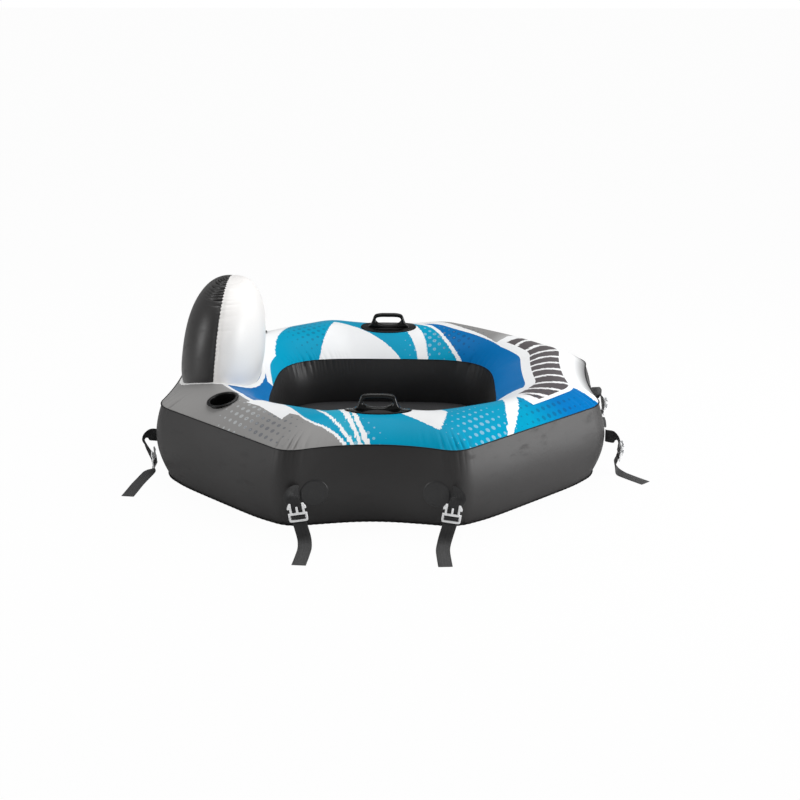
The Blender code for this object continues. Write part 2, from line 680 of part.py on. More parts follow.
def strap_set(tag, kind, edge_centre, outward, along, sign):
    """One patch, its strap and the place of its buckle, on the edge that faces outward."""
    outward, along = Vector(outward), Vector(along) * sign
    reach = PATCH_ALONG_SIDE if kind == "side" else PATCH_ALONG_END
    start = Vector(edge_centre) + along * reach + outward * 0.4
    start.z = STRAPS[kind]["height"]
    frame = frame_at(WALL_TREE, start, -outward, (0.0, 0.0, 1.0), reach=0.012)
    patch("patch_" + tag, frame, SKINS["patch"])
    normal, up = frame.col[2].xyz.normalized(), frame.col[1].xyz.normalized()
    tangent = up.cross(normal)
    if tangent.dot(along) < 0:
        tangent = -tangent
    data = STRAPS[kind]
    turn = Matrix((along, outward, Vector((0.0, 0.0, 1.0)))).transposed()
    base = frame.translation.copy()
    base.z = 0.0

    def place(point):
        return base + turn @ Vector(point)

    rim_start = frame.translation + tangent * (PATCH_RADIUS + data["rim_gap"])
    hit = WALL_TREE.find_nearest(rim_start)[0]
    rim_normal = (rim_start + outward * 0.1 - hit).normalized()
    root = hit + rim_normal * ROOT_LIFT + up * data["lift"]
    forward = root + tangent * 0.006 + normal * 0.0025
    up_axis = (turn @ Vector(data["up"])).normalized()
    face = turn @ Vector(data["face"])
    face = (face - up_axis * face.dot(up_axis)).normalized()
    across = up_axis.cross(face).normalized()
    if across.dot(along) < 0:
        across = -across
    bar = place(data["buckle"])
    path = [root, forward] + [place(p) for p in data["curl"]]
    widths = [Vector((0.0, 0.0, 1.0))] * 2 + [turn @ Vector(w) for w in data["widths"]]
    for out, lift in THREAD:
        path.append(bar + face * out + up_axis * lift)
        widths.append(across)
    ends = (turn @ Vector(data["ends"])).normalized()
    if ends.dot(across) < 0:
        ends = -ends
    for i, point in enumerate(data["tail"]):
        path.append(place(point))
        blend = min(1.0, i / 2)
        widths.append((across * (1 - blend) + ends * blend).normalized())
    centres = smooth_path(path, WEB_STEPS)
    spread = smooth_path(widths, WEB_STEPS)
    centres[:, 2] = np.maximum(centres[:, 2], WEB_THICK / 2)
    webbing("strap_" + tag, centres, spread, SKINS["webbing"], tuple(root))
    return Matrix.Translation(bar) @ Matrix((across, up_axis, across.cross(up_axis))).transposed().to_4x4(), face


# Buckles
def plate(name, us, vs, filled, half_thick):
    """A flat moulding made of cells between the breakpoints; half_thick gives (low, high) at each point."""
    points, index, faces = [], {}, []

    def at(i, j, top):
        if (i, j, top) not in index:
            low, high = half_thick(us[i], vs[j])
            index[(i, j, top)] = len(points)
            points.append((vs[j], us[i], high if top else low))
        return index[(i, j, top)]

    cells = {(i, j) for i in range(len(us) - 1) for j in range(len(vs) - 1) if filled(i, j)}
    for i, j in sorted(cells):
        faces.append([at(i, j, 1), at(i, j + 1, 1), at(i + 1, j + 1, 1), at(i + 1, j, 1)])
        faces.append([at(i, j, 0), at(i + 1, j, 0), at(i + 1, j + 1, 0), at(i, j + 1, 0)])
        sides = (((i - 1, j), (i, j), (i, j + 1)), ((i + 1, j), (i + 1, j + 1), (i + 1, j)))
        sides += (((i, j - 1), (i + 1, j), (i, j)), ((i, j + 1), (i, j + 1), (i + 1, j + 1)))
        for neighbour, one, two in sides:
            if neighbour not in cells:
                faces.append([at(*one, 0), at(*two, 0), at(*two, 1), at(*one, 1)])
    return mesh_object(name, points, faces, None)


def ring_rows():
    bar, slot = BUCKLE_BAR, BUCKLE_BAR + BUCKLE_SLOT
    return [-slot - BUCKLE_END, -slot, -bar, bar, slot, slot + BUCKLE_END]


def ladder_thickness(u, v):
    """The inner bar is slimmer than the rails, and the end bar slopes up to a lip."""
    if abs(u) <= BUCKLE_BAR + 1e-6 and abs(v) < BUCKLE_SLOT_HALF + 1e-6:
        return -0.0016, 0.0016
    if u < -BUCKLE_BAR - BUCKLE_SLOT - 1e-6:
        return -BUCKLE_HALF_THICK + 0.0012, BUCKLE_HALF_THICK + 0.0010
    return -BUCKLE_HALF_THICK, BUCKLE_HALF_THICK


def male_buckle(name, skin):
    """The ladder ring with two sprung latch arms and a guide stem between them."""
    base = ring_rows()
    neck, shoulder = base[-1] + 0.42 * PRONG_LENGTH, base[-1] + 0.60 * PRONG_LENGTH
    us = base + [neck, shoulder, base[-1] + PRONG_LENGTH]
    half, slot = BUCKLE_HALF_WIDTH, BUCKLE_SLOT_HALF
    vs = [-half, -slot, -0.0148, -0.0028, 0.0028, 0.0148, slot, half]

    def filled(i, j):
        if i in (0, 2, 4):
            return True
        if i in (1, 3):
            return j in (0, 6)
        if i == 5:
            return j in (1, 5, 3)
        if i == 6:
            return j in (0, 1, 5, 6, 3)
        return j in (0, 1, 5, 6)

    obj = plate(name, us, vs, filled, ladder_thickness)
    tip = us[-1]
    for vertex in obj.data.vertices:
        v, u = vertex.co.x, vertex.co.y
        if abs(u - tip) < 1e-6:
            # The tips round inwards
            vertex.co.x = math.copysign(0.0148 + (abs(v) - 0.0148) * 0.45, v)
            vertex.co.z *= 0.7
        if abs(u - us[0]) < 1e-6 and abs(v) > slot:
            vertex.co.x *= 0.94
            vertex.co.y += 0.0015
    return rounded(obj, 0.0006, skin)


def rounded(obj, width, skin):
    shape = bmesh.new()
    shape.from_mesh(obj.data)
    sharp = [e for e in shape.edges if e.is_manifold and e.calc_face_angle() > math.radians(50)]
    sharp = [e for e in sharp if abs(e.verts[0].co.z - e.verts[1].co.z) < BUCKLE_HALF_THICK]
    bmesh.ops.bevel(shape, geom=sharp, offset=width, segments=1, affect="EDGES", clamp_overlap=True)
    bmesh.ops.recalc_face_normals(shape, faces=shape.faces)
    shape.to_mesh(obj.data)
    shape.free()
    return finish(obj, skin)


def female_buckle(name, skin):
    """The ladder ring with a hollow body: a mouth for the arms, and a window in each side where they latch."""
    rows = ring_rows()
    half, slot = BUCKLE_HALF_WIDTH, BUCKLE_SLOT_HALF
    ring = plate(name, rows, [-half, -slot, slot, half], lambda i, j: i in (0, 2, 4) or j in (0, 2), ladder_thickness)
    start, end = rows[4] + 0.0010, rows[4] + BODY_LENGTH
    back, front, wall = -BUCKLE_HALF_THICK, 2 * BODY_HALF_THICK - BUCKLE_HALF_THICK, BODY_WALL
    outline = [(-half, start), (half, start), (half * 1.04, end - 0.008), (half * 0.98, end)]
    outline += [(-half * 0.98, end), (-half * 1.04, end - 0.008)]
    body = rounded(prism("body", outline, Matrix.Identity(4), back, front), 0.0016, None)
    hollow = box("hollow", Matrix.Identity(4), (wall - half, start + wall, back + wall),
                 (half - wall, end + 0.01, front - wall))
    body = combine(body, hollow, "DIFFERENCE")
    window = box("window", Matrix.Identity(4), (-2 * half, start + 0.007, back + wall),
                 (2 * half, end - 0.009, front - wall))
    body = combine(body, window, "DIFFERENCE")
    return finish(combine(ring, body, "UNION"), skin)


def placed_copy(source, name, frame):
    obj = bpy.data.objects.new(name, source.data)
    obj.matrix_world = frame
    bpy.context.collection.objects.link(obj)
    return obj


# Valves
def valve(tag, frame, flange, low, skin, cap_skin):
    """A flange that follows the skin, a stem with a bore and a lug, and a cap that swings on its tether."""
    stem = VALVE_STEM_UP
    profile = [(VALVE_STEM, low), (VALVE_STEM, stem - 0.0008), (VALVE_STEM - 0.0008, stem),
               (VALVE_BORE, stem), (VALVE_BORE, low)]
    tube = revolve("stem", profile, frame, VALVE_STEPS)
    lug = box("lug", frame, (-VALVE_TETHER_HALF, VALVE_STEM - 0.0010, stem - VALVE_LUG_THICK),
              (VALVE_TETHER_HALF, VALVE_HINGE_OUT - 0.0004, stem))
    body = finish(combine(combine(flange, tube, "UNION"), lug, "UNION"), skin)
    hinge = frame @ Vector((0.0, VALVE_HINGE_OUT, stem + GAP))
    lid, foot = stem + GAP, stem - VALVE_PLUG_LENGTH
    plug, top = VALVE_BORE - VALVE_PLUG_CLEAR, lid + VALVE_CAP_TOP
    outside = [(0.0, foot), (plug - VALVE_PLUG_TAPER, foot), (plug, stem - 0.0006), (plug, lid),
               (VALVE_CAP_SKIRT, lid), (VALVE_CAP_SKIRT, top - 0.0006), (VALVE_CAP_SKIRT - 0.0008, top), (0.0, top)]
    cap = revolve("valve_cap_" + tag, outside, frame, VALVE_STEPS, cap_skin, tuple(hinge))
    tab = box("tab", frame, (-VALVE_TETHER_HALF, VALVE_CAP_SKIRT - 0.0015, lid + GAP),
              (VALVE_TETHER_HALF, VALVE_HINGE_OUT, top - 0.0005))
    cap = combine(cap, tab, "UNION")
    cap.name = "valve_cap_" + tag
    return body, finish(cap, cap_skin), hinge


clear_scene()
SURFACE, MITRE, ANGLES = ring_grids()
SKINS = {
    "print": material("printed_vinyl", (0.05, 0.42, 0.60), 0.38),
    "charcoal": material("charcoal_vinyl", (0.050, 0.050, 0.052), 0.42),
    "well": material("well_vinyl", (0.022, 0.022, 0.024), 0.45),
    "under": material("under_vinyl", (0.035, 0.035, 0.037), 0.50),
    "mesh": material("floor_mesh", (0.018, 0.018, 0.020), 0.85),
    "white": material("white_vinyl", (0.78, 0.78, 0.77), 0.36),
    "grey": material("grey_vinyl", (0.085, 0.085, 0.090), 0.42),
    "flange": material("weld_strip", (0.72, 0.72, 0.71), 0.40),
    "cup": material("cup_plastic", (0.020, 0.020, 0.022), 0.35),
    "handle": material("handle_moulding", (0.018, 0.018, 0.020), 0.42),
    "patch": material("patch_vinyl", (0.030, 0.030, 0.032), 0.40),
    "webbing": material("black_webbing", (0.016, 0.016, 0.018), 0.80),
    "buckle": material("buckle_plastic", (0.60, 0.60, 0.60), 0.40),
    "valve": material("valve_vinyl", (0.55, 0.55, 0.55), 0.40),
    "cap": material("valve_cap", (0.62, 0.62, 0.61), 0.40),
}

# Air chamber
top = panel("top_panel", 0, WELL_SEAM, SKINS["print"])
wall = panel("outer_band", OUTER_FLOOR_SEAM, OUTER_FLOOR_SEAM + WALL_ROWS, SKINS["charcoal"])
finish(panel("inner_band", WELL_SEAM, INNER_FLOOR_SEAM, SKINS["well"]))
finish(panel("bottom_panel", INNER_FLOOR_SEAM, OUTER_FLOOR_SEAM, SKINS["under"]))
TOP_TREE, WALL_TREE = tree_of(top), tree_of(wall)

# Well floor: a flat sheet held by the inner band
rim = SURFACE[:, FLOOR_LINE, :2]
rim = rim * (1 - 2 * GAP / np.linalg.norm(rim, axis=1))[:, None]
floor_points = [(x, y, WELL_FLOOR_Z - drop) for drop in (0.0, WELL_FLOOR_THICK) for x, y in rim]
count = len(rim)
floor_faces = [list(range(count)), list(range(2 * count - 1, count - 1, -1))]
floor_faces += [[i, count + i, count + (i + 1) % count, (i + 1) % count] for i in range(count)]
finish(mesh_object("well_floor", floor_points, floor_faces, SKINS["mesh"]))

# Headrest
finish(rest_flange("headrest_flange", None), SKINS["flange"])
finish(rest_half("headrest_front", 1, SKINS["white"]), SKINS["white"])
rest_back = rest_half("headrest_back", -1, SKINS["grey"])

# Cup holders, each in its hole
for tag, side in (("near", -1), ("far", 1)):
    cup, hole = cup_holder("cup_holder_" + tag, side, SKINS["cup"])
    finish(cup, SKINS["cup"])
    combine(top, hole, "DIFFERENCE")
finish(top, SKINS["print"])

# Carry handles
for tag, side in (("near", -1), ("far", 1)):
    handle("handle_" + tag, side, SKINS["handle"])

# Patches, straps and buckles, two sets on each main edge
male = male_buckle("male_pattern", SKINS["buckle"])
female = female_buckle("female_pattern", SKINS["buckle"])
SETS = [
    ("near_head", "side", (0.0, -0.60, 0.0), (0, -1, 0), (1, 0, 0), -1, male),
    ("near_foot", "side", (0.0, -0.60, 0.0), (0, -1, 0), (1, 0, 0), 1, male),
    ("far_head", "side", (0.0, 0.60, 0.0), (0, 1, 0), (1, 0, 0), -1, female),
    ("far_foot", "side", (0.0, 0.60, 0.0), (0, 1, 0), (1, 0, 0), 1, female),
    ("head_near", "head", (-0.64, 0.0, 0.0), (-1, 0, 0), (0, 1, 0), -1, male),
    ("head_far", "head_hanging", (-0.64, 0.0, 0.0), (-1, 0, 0), (0, 1, 0), 1, male),
    ("foot_near", "foot", (0.64, 0.0, 0.0), (1, 0, 0), (0, 1, 0), -1, female),
    ("foot_far", "foot_hanging", (0.64, 0.0, 0.0), (1, 0, 0), (0, 1, 0), 1, female),
]
for tag, kind, centre, outward, along, sign, pattern in SETS:
    frame, face = strap_set(tag, kind, centre, outward, along, sign)
    if frame.col[2].xyz.dot(face) < 0:
        frame = frame @ Matrix.Diagonal((-1.0, 1.0, -1.0, 1.0))
    placed_copy(pattern, "buckle_" + tag, frame)
for pattern in (male, female):
    bpy.data.objects.remove(pattern, do_unlink=True)

# Main valve, on the far side of the outer band
main_frame = frame_at(WALL_TREE, (0.0, 1.0, MAIN_VALVE_Z), (0.0, -1.0, 0.0), (0.0, 0.0, 1.0))
flange = layer("valve_main", OUTER_FLOOR_SEAM, OUTER_FLOOR_SEAM + WALL_ROWS, math.pi / 2, 0.3,
               GAP, GAP + VALVE_FLANGE_THICK)
flange = combine(flange, prism("edge", ellipse(VALVE_FLANGE, VALVE_FLANGE, 24), main_frame, -0.02, 0.02), "INTERSECT")
stem_middle = (VALVE_STEM + VALVE_BORE) / 2
bore = prism("bore", ellipse(stem_middle, stem_middle, VALVE_STEPS), main_frame, -0.02, 0.02)
flange = combine(flange, bore, "DIFFERENCE")
valve("main", main_frame, flange, GAP + 0.0006, SKINS["valve"], SKINS["cap"])
hole = prism("hole", ellipse(VALVE_BORE, VALVE_BORE, VALVE_STEPS), main_frame, -0.02, 0.02)
finish(combine(wall, hole, "DIFFERENCE"), SKINS["charcoal"])

# Headrest valve, on the far side of the dark half
rest_tree = tree_of(rest_back)
rest_aim = (-1.0, REST_HALF_WIDTH - REST_VALVE_IN, REST_BASE_Z + REST_VALVE_UP)
rest_frame = frame_at(rest_tree, rest_aim, (1.0, 0.0, 0.0), (0.0, 0.0, 1.0), reach=0.012)
base = revolve("valve_headrest", [(VALVE_STEM + 0.0040, 0.0012), (VALVE_STEM + 0.0040, 0.0024),
                                  (stem_middle, 0.0024), (stem_middle, 0.0012)], rest_frame, VALVE_STEPS)
valve("headrest", rest_frame, base, -0.012, SKINS["valve"], SKINS["cap"])
hole = prism("hole", ellipse(VALVE_STEM + GAP, VALVE_STEM + GAP, VALVE_STEPS), rest_frame, -0.02, 0.02)
finish(combine(rest_back, hole, "DIFFERENCE"), SKINS["grey"])

# The whole object slides along its length until the box round it is centred over the origin
bpy.context.view_layer.update()
pieces = list(bpy.context.scene.objects)
lengths = [(obj.matrix_world @ Vector(corner)).x for obj in pieces for corner in obj.bound_box]
middle = (min(lengths) + max(lengths)) / 2
for obj in pieces:
    obj.matrix_world = Matrix.Translation((-middle, 0.0, 0.0)) @ obj.matrix_world
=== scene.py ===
# %% [markdown]
# # Lounge river tube
# This lesson dresses a river lounge: an eight-cornered inflatable ring with a seat well, an inflated
# headrest, two cup holders, two moulded carry handles, and eight webbing straps with buckle halves.
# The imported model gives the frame: every piece made here sits where its solid sits, in metres.

# %% The frame
import json
import math
import bpy
import bmesh
import numpy as np
from mathutils import Matrix, Vector
from mathutils.bvhtree import BVHTree

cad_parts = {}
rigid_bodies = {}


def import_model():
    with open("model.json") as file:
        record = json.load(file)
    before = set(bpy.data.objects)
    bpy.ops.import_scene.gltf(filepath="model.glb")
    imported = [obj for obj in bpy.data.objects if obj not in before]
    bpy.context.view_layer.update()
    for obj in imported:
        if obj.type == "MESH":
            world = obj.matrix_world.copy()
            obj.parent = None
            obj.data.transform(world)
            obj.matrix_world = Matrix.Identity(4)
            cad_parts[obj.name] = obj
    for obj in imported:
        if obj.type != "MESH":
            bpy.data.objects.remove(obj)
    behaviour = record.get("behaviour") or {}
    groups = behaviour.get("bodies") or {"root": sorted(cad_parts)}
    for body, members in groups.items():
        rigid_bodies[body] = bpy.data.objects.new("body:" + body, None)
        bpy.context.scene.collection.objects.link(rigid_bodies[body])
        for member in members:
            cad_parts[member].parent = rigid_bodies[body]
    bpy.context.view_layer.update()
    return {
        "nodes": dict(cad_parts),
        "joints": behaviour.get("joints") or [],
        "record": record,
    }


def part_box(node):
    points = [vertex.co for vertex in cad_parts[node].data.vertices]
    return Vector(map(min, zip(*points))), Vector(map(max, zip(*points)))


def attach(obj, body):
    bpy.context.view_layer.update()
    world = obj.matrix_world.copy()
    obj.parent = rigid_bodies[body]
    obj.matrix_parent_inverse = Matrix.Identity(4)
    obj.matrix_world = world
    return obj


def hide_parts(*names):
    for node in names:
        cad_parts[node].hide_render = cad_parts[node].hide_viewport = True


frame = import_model()

# %% [markdown]
# ## Camera
# The view is a long lens a little above the ring, so the near edge looks almost straight and the seat well
# shows as a dark slot. Camera and lens come first.

# %% Camera
TARGET = Vector((0.0241, 0.0, 0.1635))
EYE = Vector((0.1264, -3.995, 1.528))
LENS_MM, SENSOR_MM = 60.41, 36.0
lens = bpy.data.cameras.new("camera")
lens.lens, lens.sensor_width = LENS_MM, SENSOR_MM
camera = bpy.data.objects.new("camera", lens)
bpy.context.collection.objects.link(camera)
camera.location = EYE
camera.rotation_euler = (TARGET - EYE).to_track_quat("-Z", "Y").to_euler()
bpy.context.scene.camera = camera
print("camera distance", round((TARGET - EYE).length, 3))

# %% [markdown]
# ## Sizes
# The ring is drawn like a sail plan. Eight corners carry edges that air pressure leaves straight or draws in,
# and every section of the ring stands on a ray from the middle. These are the same values as the solids have.

# %% Sizes of the ring
SLIDE_X = -0.0266185
CORNERS = [(0.655, 0.222), (0.224, 0.628), (-0.242, 0.638), (-0.659, 0.262)]
SAGS = [0.0, 0.058, 0.0, 0.022] * 2
CORNER_CUT = 0.052
WELL_X, WELL_Y, WELL_POWER = 0.348, 0.300, 4
OUTER_SEAM_Z, INNER_SEAM_Z, FLOOR_SEAM_Z = 0.231, 0.205, 0.006
TOP_RISE, WALL_BULGE, WELL_BULGE = 0.064, 0.024, 0.018
WALL_HEIGHT, WELL_DROP = OUTER_SEAM_Z - FLOOR_SEAM_Z, INNER_SEAM_Z - FLOOR_SEAM_Z
# The wall flares out to the floor seam, and tucks in under each corner, where that seam is drawn tight
FLOOR_FLARE, TUCK_DEPTH, TUCK_REACH = 0.004, 0.017, 0.085
UNDER_RIM = 0.12
WELL_FLOOR_Z = 0.060
SKIN = 0.0015
EDGE_STEPS, CORNER_STEPS = 82, 42
AROUND = 8 * (EDGE_STEPS + CORNER_STEPS)
print("wall", WALL_HEIGHT, "m high, well", 2 * WELL_X, "by", 2 * WELL_Y, "m, stations", AROUND)


# %% Plan of the outer seam
def plan():
    """Points of the outer seam from the foot end, counter-clockwise, and each one's gap to a corner."""
    corners = [np.array(p) for p in CORNERS] + [np.array((x, -y)) for x, y in reversed(CORNERS)]
    edges = []
    for i, sag in enumerate(SAGS):
        along = corners[(i + 1) % 8] - corners[i]
        length = np.linalg.norm(along)
        across = np.array((-along[1], along[0])) / length
        edges.append((corners[i], along, across, sag, CORNER_CUT / length))

    def on_edge(edge, t):
        start, along, across, sag, _ = edge
        return start + along * t + across * sag * 4 * t * (1 - t)

    points = []
    for i, edge in enumerate(edges):
        cut, after = edge[4], edges[(i + 1) % 8]
        points += [on_edge(edge, cut + (1 - 2 * cut) * j / EDGE_STEPS) for j in range(EDGE_STEPS)]
        leave, enter, middle = on_edge(edge, 1 - cut), on_edge(after, after[4]), corners[(i + 1) % 8]
        for j in range(CORNER_STEPS):
            t = j / CORNER_STEPS
            points.append((1 - t) ** 2 * leave + 2 * t * (1 - t) * middle + t * t * enter)
    points = np.array(points)
    gap = np.min([np.hypot(*(points - c).T) for c in corners], axis=0)
    return points, gap


def fade(away, reach):
    """1 at a line, falling off smoothly with the distance from it."""
    return np.exp(-(away / reach) ** 2)


SEAM, CORNER_GAP = plan()
STEP = np.linalg.norm(np.roll(SEAM, -1, axis=0) - SEAM, axis=1)
RUN = np.concatenate([[0.0], np.cumsum(STEP)[:-1]])
ANGLE = np.arctan2(SEAM[:, 1], SEAM[:, 0])
OUTER = np.hypot(SEAM[:, 0], SEAM[:, 1])
TUCK = TUCK_DEPTH * fade(CORNER_GAP, TUCK_REACH)
print("seam length", round(float(STEP.sum()), 3), "m, stations", AROUND)


# %% Plan of the well
def well_radius(angle):
    c, s = np.abs(np.cos(angle)), np.abs(np.sin(angle))
    return ((c / WELL_X) ** WELL_POWER + (s / WELL_Y) ** WELL_POWER) ** (-1 / WELL_POWER)


INNER = well_radius(ANGLE)
WIDTHS = OUTER - INNER
print("top panel from", round(float(WIDTHS.min()), 3), "to", round(float(WIDTHS.max()), 3), "m wide")


# %% Curves of each panel's section, as (radius, height) at t from 0 to 1
def top_curve(t, outer, inner):
    rise = TOP_RISE * np.sin(np.pi * np.clip(t, 0.0, 1.0)) ** 0.9
    return outer + (inner - outer) * t, OUTER_SEAM_Z + (INNER_SEAM_Z - OUTER_SEAM_Z) * t + rise


def wall_curve(t, outer, inner):
    return outer + WALL_BULGE * np.sin(np.pi * t) + FLOOR_FLARE * (1 - t), FLOOR_SEAM_Z + WALL_HEIGHT * t


def well_curve(t, outer, inner):
    return inner - WELL_BULGE * np.sin(np.pi * t), INNER_SEAM_Z + (FLOOR_SEAM_Z - INNER_SEAM_Z) * t


def under_curve(t, outer, inner):
    rim = np.minimum(1.0, np.minimum(t, 1 - t) / UNDER_RIM)
    return inner + (outer + FLOOR_FLARE - inner) * t, FLOOR_SEAM_Z * (1 - np.sin(rim * np.pi / 2))


print("crest of the ring", round(float(top_curve(0.5, OUTER[0], INNER[0])[1]), 3), "m high")


# %% [markdown]
# ## Folds
# A welded seam can't stretch, so the vinyl beside it gathers into short folds, deepest round the corners.
# A fold is a narrow valley between two round swellings. One formula gives them along the seam, and a second
# one fades them out away from it.

# %% Folds along a seam
FOLD_DEEP, FOLD_PITCH, FOLD_FADE, FOLD_CORNER = 0.0072, 0.0225, 0.042, 0.080
GATHER_DEEP, GATHER_EVEN, GATHER_PITCH, GATHER_FADE = 0.0020, 0.0003, 0.0125, 0.015
WELL_FOLD_DEEP, WELL_FOLD_PITCH = 0.0034, 0.026
# The folds deepen and fade along this much seam, and the weld holds them flat within this distance
FOLD_RUN, WELD_HOLD = 0.047, 0.005
LONG_WAVE, SHORT_WAVE, SHORT_SHARE = 0.61, 0.27, 0.6


def valleys(run, pitch, shift=0.0):
    """0 on a swelling and -1 in a valley, with uneven spacing along the run."""
    bent = run + 0.35 * pitch * np.sin(run * 2 * np.pi / (pitch * 5.3) + shift) + shift
    return -(1 - np.abs(np.sin(np.pi * bent / pitch))) ** 1.8


def seam_folds(run, gap, away):
    """Height of the folds at a distance away from the outer seam."""
    near = fade(gap, FOLD_CORNER)
    uneven = 0.65 + 0.35 * np.sin(run * 2 * np.pi / FOLD_RUN + 0.8)
    deep = FOLD_DEEP * near * uneven * valleys(run, FOLD_PITCH) * fade(away, FOLD_FADE)
    size = GATHER_DEEP * near + GATHER_EVEN
    fine = size * valleys(run, GATHER_PITCH, 1.7) * fade(away, GATHER_FADE)
    return (deep + fine) * np.clip(away / WELD_HOLD, 0.15, 1.0)


def slow_waves(run, level, size):
    """Long soft swellings of a tensioned skin."""
    long_wave = np.sin(run * 2 * np.pi / LONG_WAVE + 1.1 + 9 * level)
    short_wave = np.sin(run * 2 * np.pi / SHORT_WAVE + 2.3 - 14 * level)
    return size * (long_wave + SHORT_SHARE * short_wave)


print("deepest fold", round(1000 * float(-seam_folds(RUN, CORNER_GAP, 0.012).min()), 1), "mm")

# %% [markdown]
# ## Panels of the ring
# Each panel is a sheet welded to its neighbours. As by hand, it begins as a plane of many squares. Then
# every point moves to its place on the section, the ends are merged, and Solidify gives the vinyl its
# thickness. A lathe or an extruded outline couldn't give both the drawn-in edges and the folds.

# %% Helpers that select, name and clean a piece
SHEET_SMOOTH = math.radians(50)


def alone():
    """Leaves nothing selected, so that the next operator acts on the new piece only."""
    if bpy.context.object and bpy.context.object.mode != "OBJECT":
        bpy.ops.object.mode_set(mode="OBJECT")
    bpy.ops.object.select_all(action="DESELECT")


def take(obj):
    alone()
    obj.select_set(True)
    bpy.context.view_layer.objects.active = obj
    return obj


def named(name):
    obj = bpy.context.object
    obj.name = name
    obj.data.name = name
    return obj


def applied(obj, modifier):
    """Applies a modifier that has just been set."""
    take(obj)
    bpy.ops.object.modifier_apply(modifier=modifier.name)
    return obj


def close_up(obj, merge=1e-6):
    """Merges doubles and turns the normals outwards together."""
    take(obj)
    bpy.ops.object.mode_set(mode="EDIT")
    bpy.ops.mesh.select_all(action="SELECT")
    bpy.ops.mesh.remove_doubles(threshold=merge)
    bpy.ops.mesh.normals_make_consistent(inside=False)
    bpy.ops.object.mode_set(mode="OBJECT")
    return obj


def facing(obj, hint):
    """Flips a sheet whose faces look away from the hint, a function of a face's centre."""
    total = sum(f.normal.dot(hint(f.center)) * f.area for f in list(obj.data.polygons)[::7])
    if total < 0:
        take(obj)
        bpy.ops.object.mode_set(mode="EDIT")
        bpy.ops.mesh.select_all(action="SELECT")
        bpy.ops.mesh.flip_normals()
        bpy.ops.object.mode_set(mode="OBJECT")
    return obj


# %% A sheet that starts as a plane of squares
def sheet_of(name, around, across, place, thick=0.0, hint=None, merge=1e-6):
    """A plane of squares whose points move to place(u, v), u and v running from 0 to 1."""
    alone()
    bpy.ops.mesh.primitive_grid_add(x_subdivisions=around, y_subdivisions=across, size=1.0, calc_uvs=True)
    obj = named(name)
    mesh = obj.data
    flat = np.empty(len(mesh.vertices) * 3)
    mesh.vertices.foreach_get("co", flat)
    flat = flat.reshape(-1, 3)
    moved = np.asarray(place(flat[:, 0] + 0.5, flat[:, 1] + 0.5), float)
    mesh.vertices.foreach_set("co", np.ascontiguousarray(moved).ravel())
    mesh.update()
    close_up(obj, merge)
    if hint:
        facing(obj, hint)
    if thick:
        solidify = obj.modifiers.new("Solidify", "SOLIDIFY")
        solidify.thickness, solidify.offset = thick, -1.0
        applied(obj, solidify)
    take(obj)
    bpy.ops.object.shade_smooth_by_angle(angle=SHEET_SMOOTH)
    return obj


def upward(centre):
    return Vector((0, 0, 1))


def downward(centre):
    return Vector((0, 0, -1))


def outward(centre):
    return Vector((centre.x - SLIDE_X, centre.y, 0.0))


def inward(centre):
    return -outward(centre)


# %% Points of a ring panel
def on_ring(r, angle, z):
    """Places from a distance and an angle round the middle of the well, and a height."""
    return np.column_stack([r * np.cos(angle) + SLIDE_X, r * np.sin(angle), z])


def station(u):
    return np.rint(u * AROUND).astype(int) % AROUND


def ring_points(u, v, curve, lift):
    """Points of a ring panel: u picks the station, v the place on its section, and lift swells it."""
    at = station(u)
    outer, inner = OUTER[at], INNER[at]
    r, z = curve(v, outer, inner)
    r2, z2 = curve(v + 1e-4, outer, inner)
    r1, z1 = curve(v - 1e-4, outer, inner)
    length = np.hypot(r2 - r1, z2 - z1) + 1e-12
    out_r, out_z = -(z2 - z1) / length, (r2 - r1) / length
    if curve is wall_curve:
        r = r - TUCK[at] * (1 - v) ** 2.2
    elif curve is under_curve:
        r = r - TUCK[at] * v ** 6
    up = lift(v, at) * (-1.0 if curve is top_curve else 1.0)
    return on_ring(r + out_r * up, ANGLE[at], z + out_z * up)


print("seam at the foot's far corner", on_ring(OUTER[:1], ANGLE[:1], OUTER_SEAM_Z).round(3)[0])


# %% How each panel swells and folds
TOP_WAVE, WALL_WAVE, WELL_WAVE = 0.0007, 0.0011, 0.0006
# The wall takes a share of the top's folds, and has low ones of its own along the floor weld
WALL_SHARE, LOW_EVEN, LOW_DEEP, LOW_CORNER, LOW_PITCH, LOW_FADE = 0.25, 0.0007, 0.0022, 0.07, 0.028, 0.016
WELL_EVEN, WELL_TOP_FADE, WELL_WALL_FADE = 0.0004, 0.024, 0.030


def well_gathers(at):
    """How near a station is to a corner of the well, and the folds along the well's edge."""
    return np.abs(np.sin(2 * ANGLE[at])) ** 6, valleys(ANGLE[at] * INNER[at], WELL_FOLD_PITCH, 0.4)


def top_lift(v, at):
    width = OUTER[at] - INNER[at]
    corner, folds = well_gathers(at)
    inside = WELL_FOLD_DEEP * corner * folds * fade((1 - v) * width, WELL_TOP_FADE)
    soft = slow_waves(RUN[at], v, TOP_WAVE) * np.sin(np.pi * v)
    return seam_folds(RUN[at], CORNER_GAP[at], v * width) + inside + soft


def wall_lift(v, at):
    upper = WALL_SHARE * seam_folds(RUN[at], CORNER_GAP[at], (1 - v) * WALL_HEIGHT)
    lower = (LOW_EVEN + LOW_DEEP * fade(CORNER_GAP[at], LOW_CORNER)) * valleys(RUN[at], LOW_PITCH, 0.9)
    soft = slow_waves(RUN[at], v * 0.3, WALL_WAVE) * np.sin(np.pi * v)
    return -(upper + lower * fade(v * WALL_HEIGHT, LOW_FADE) + soft)


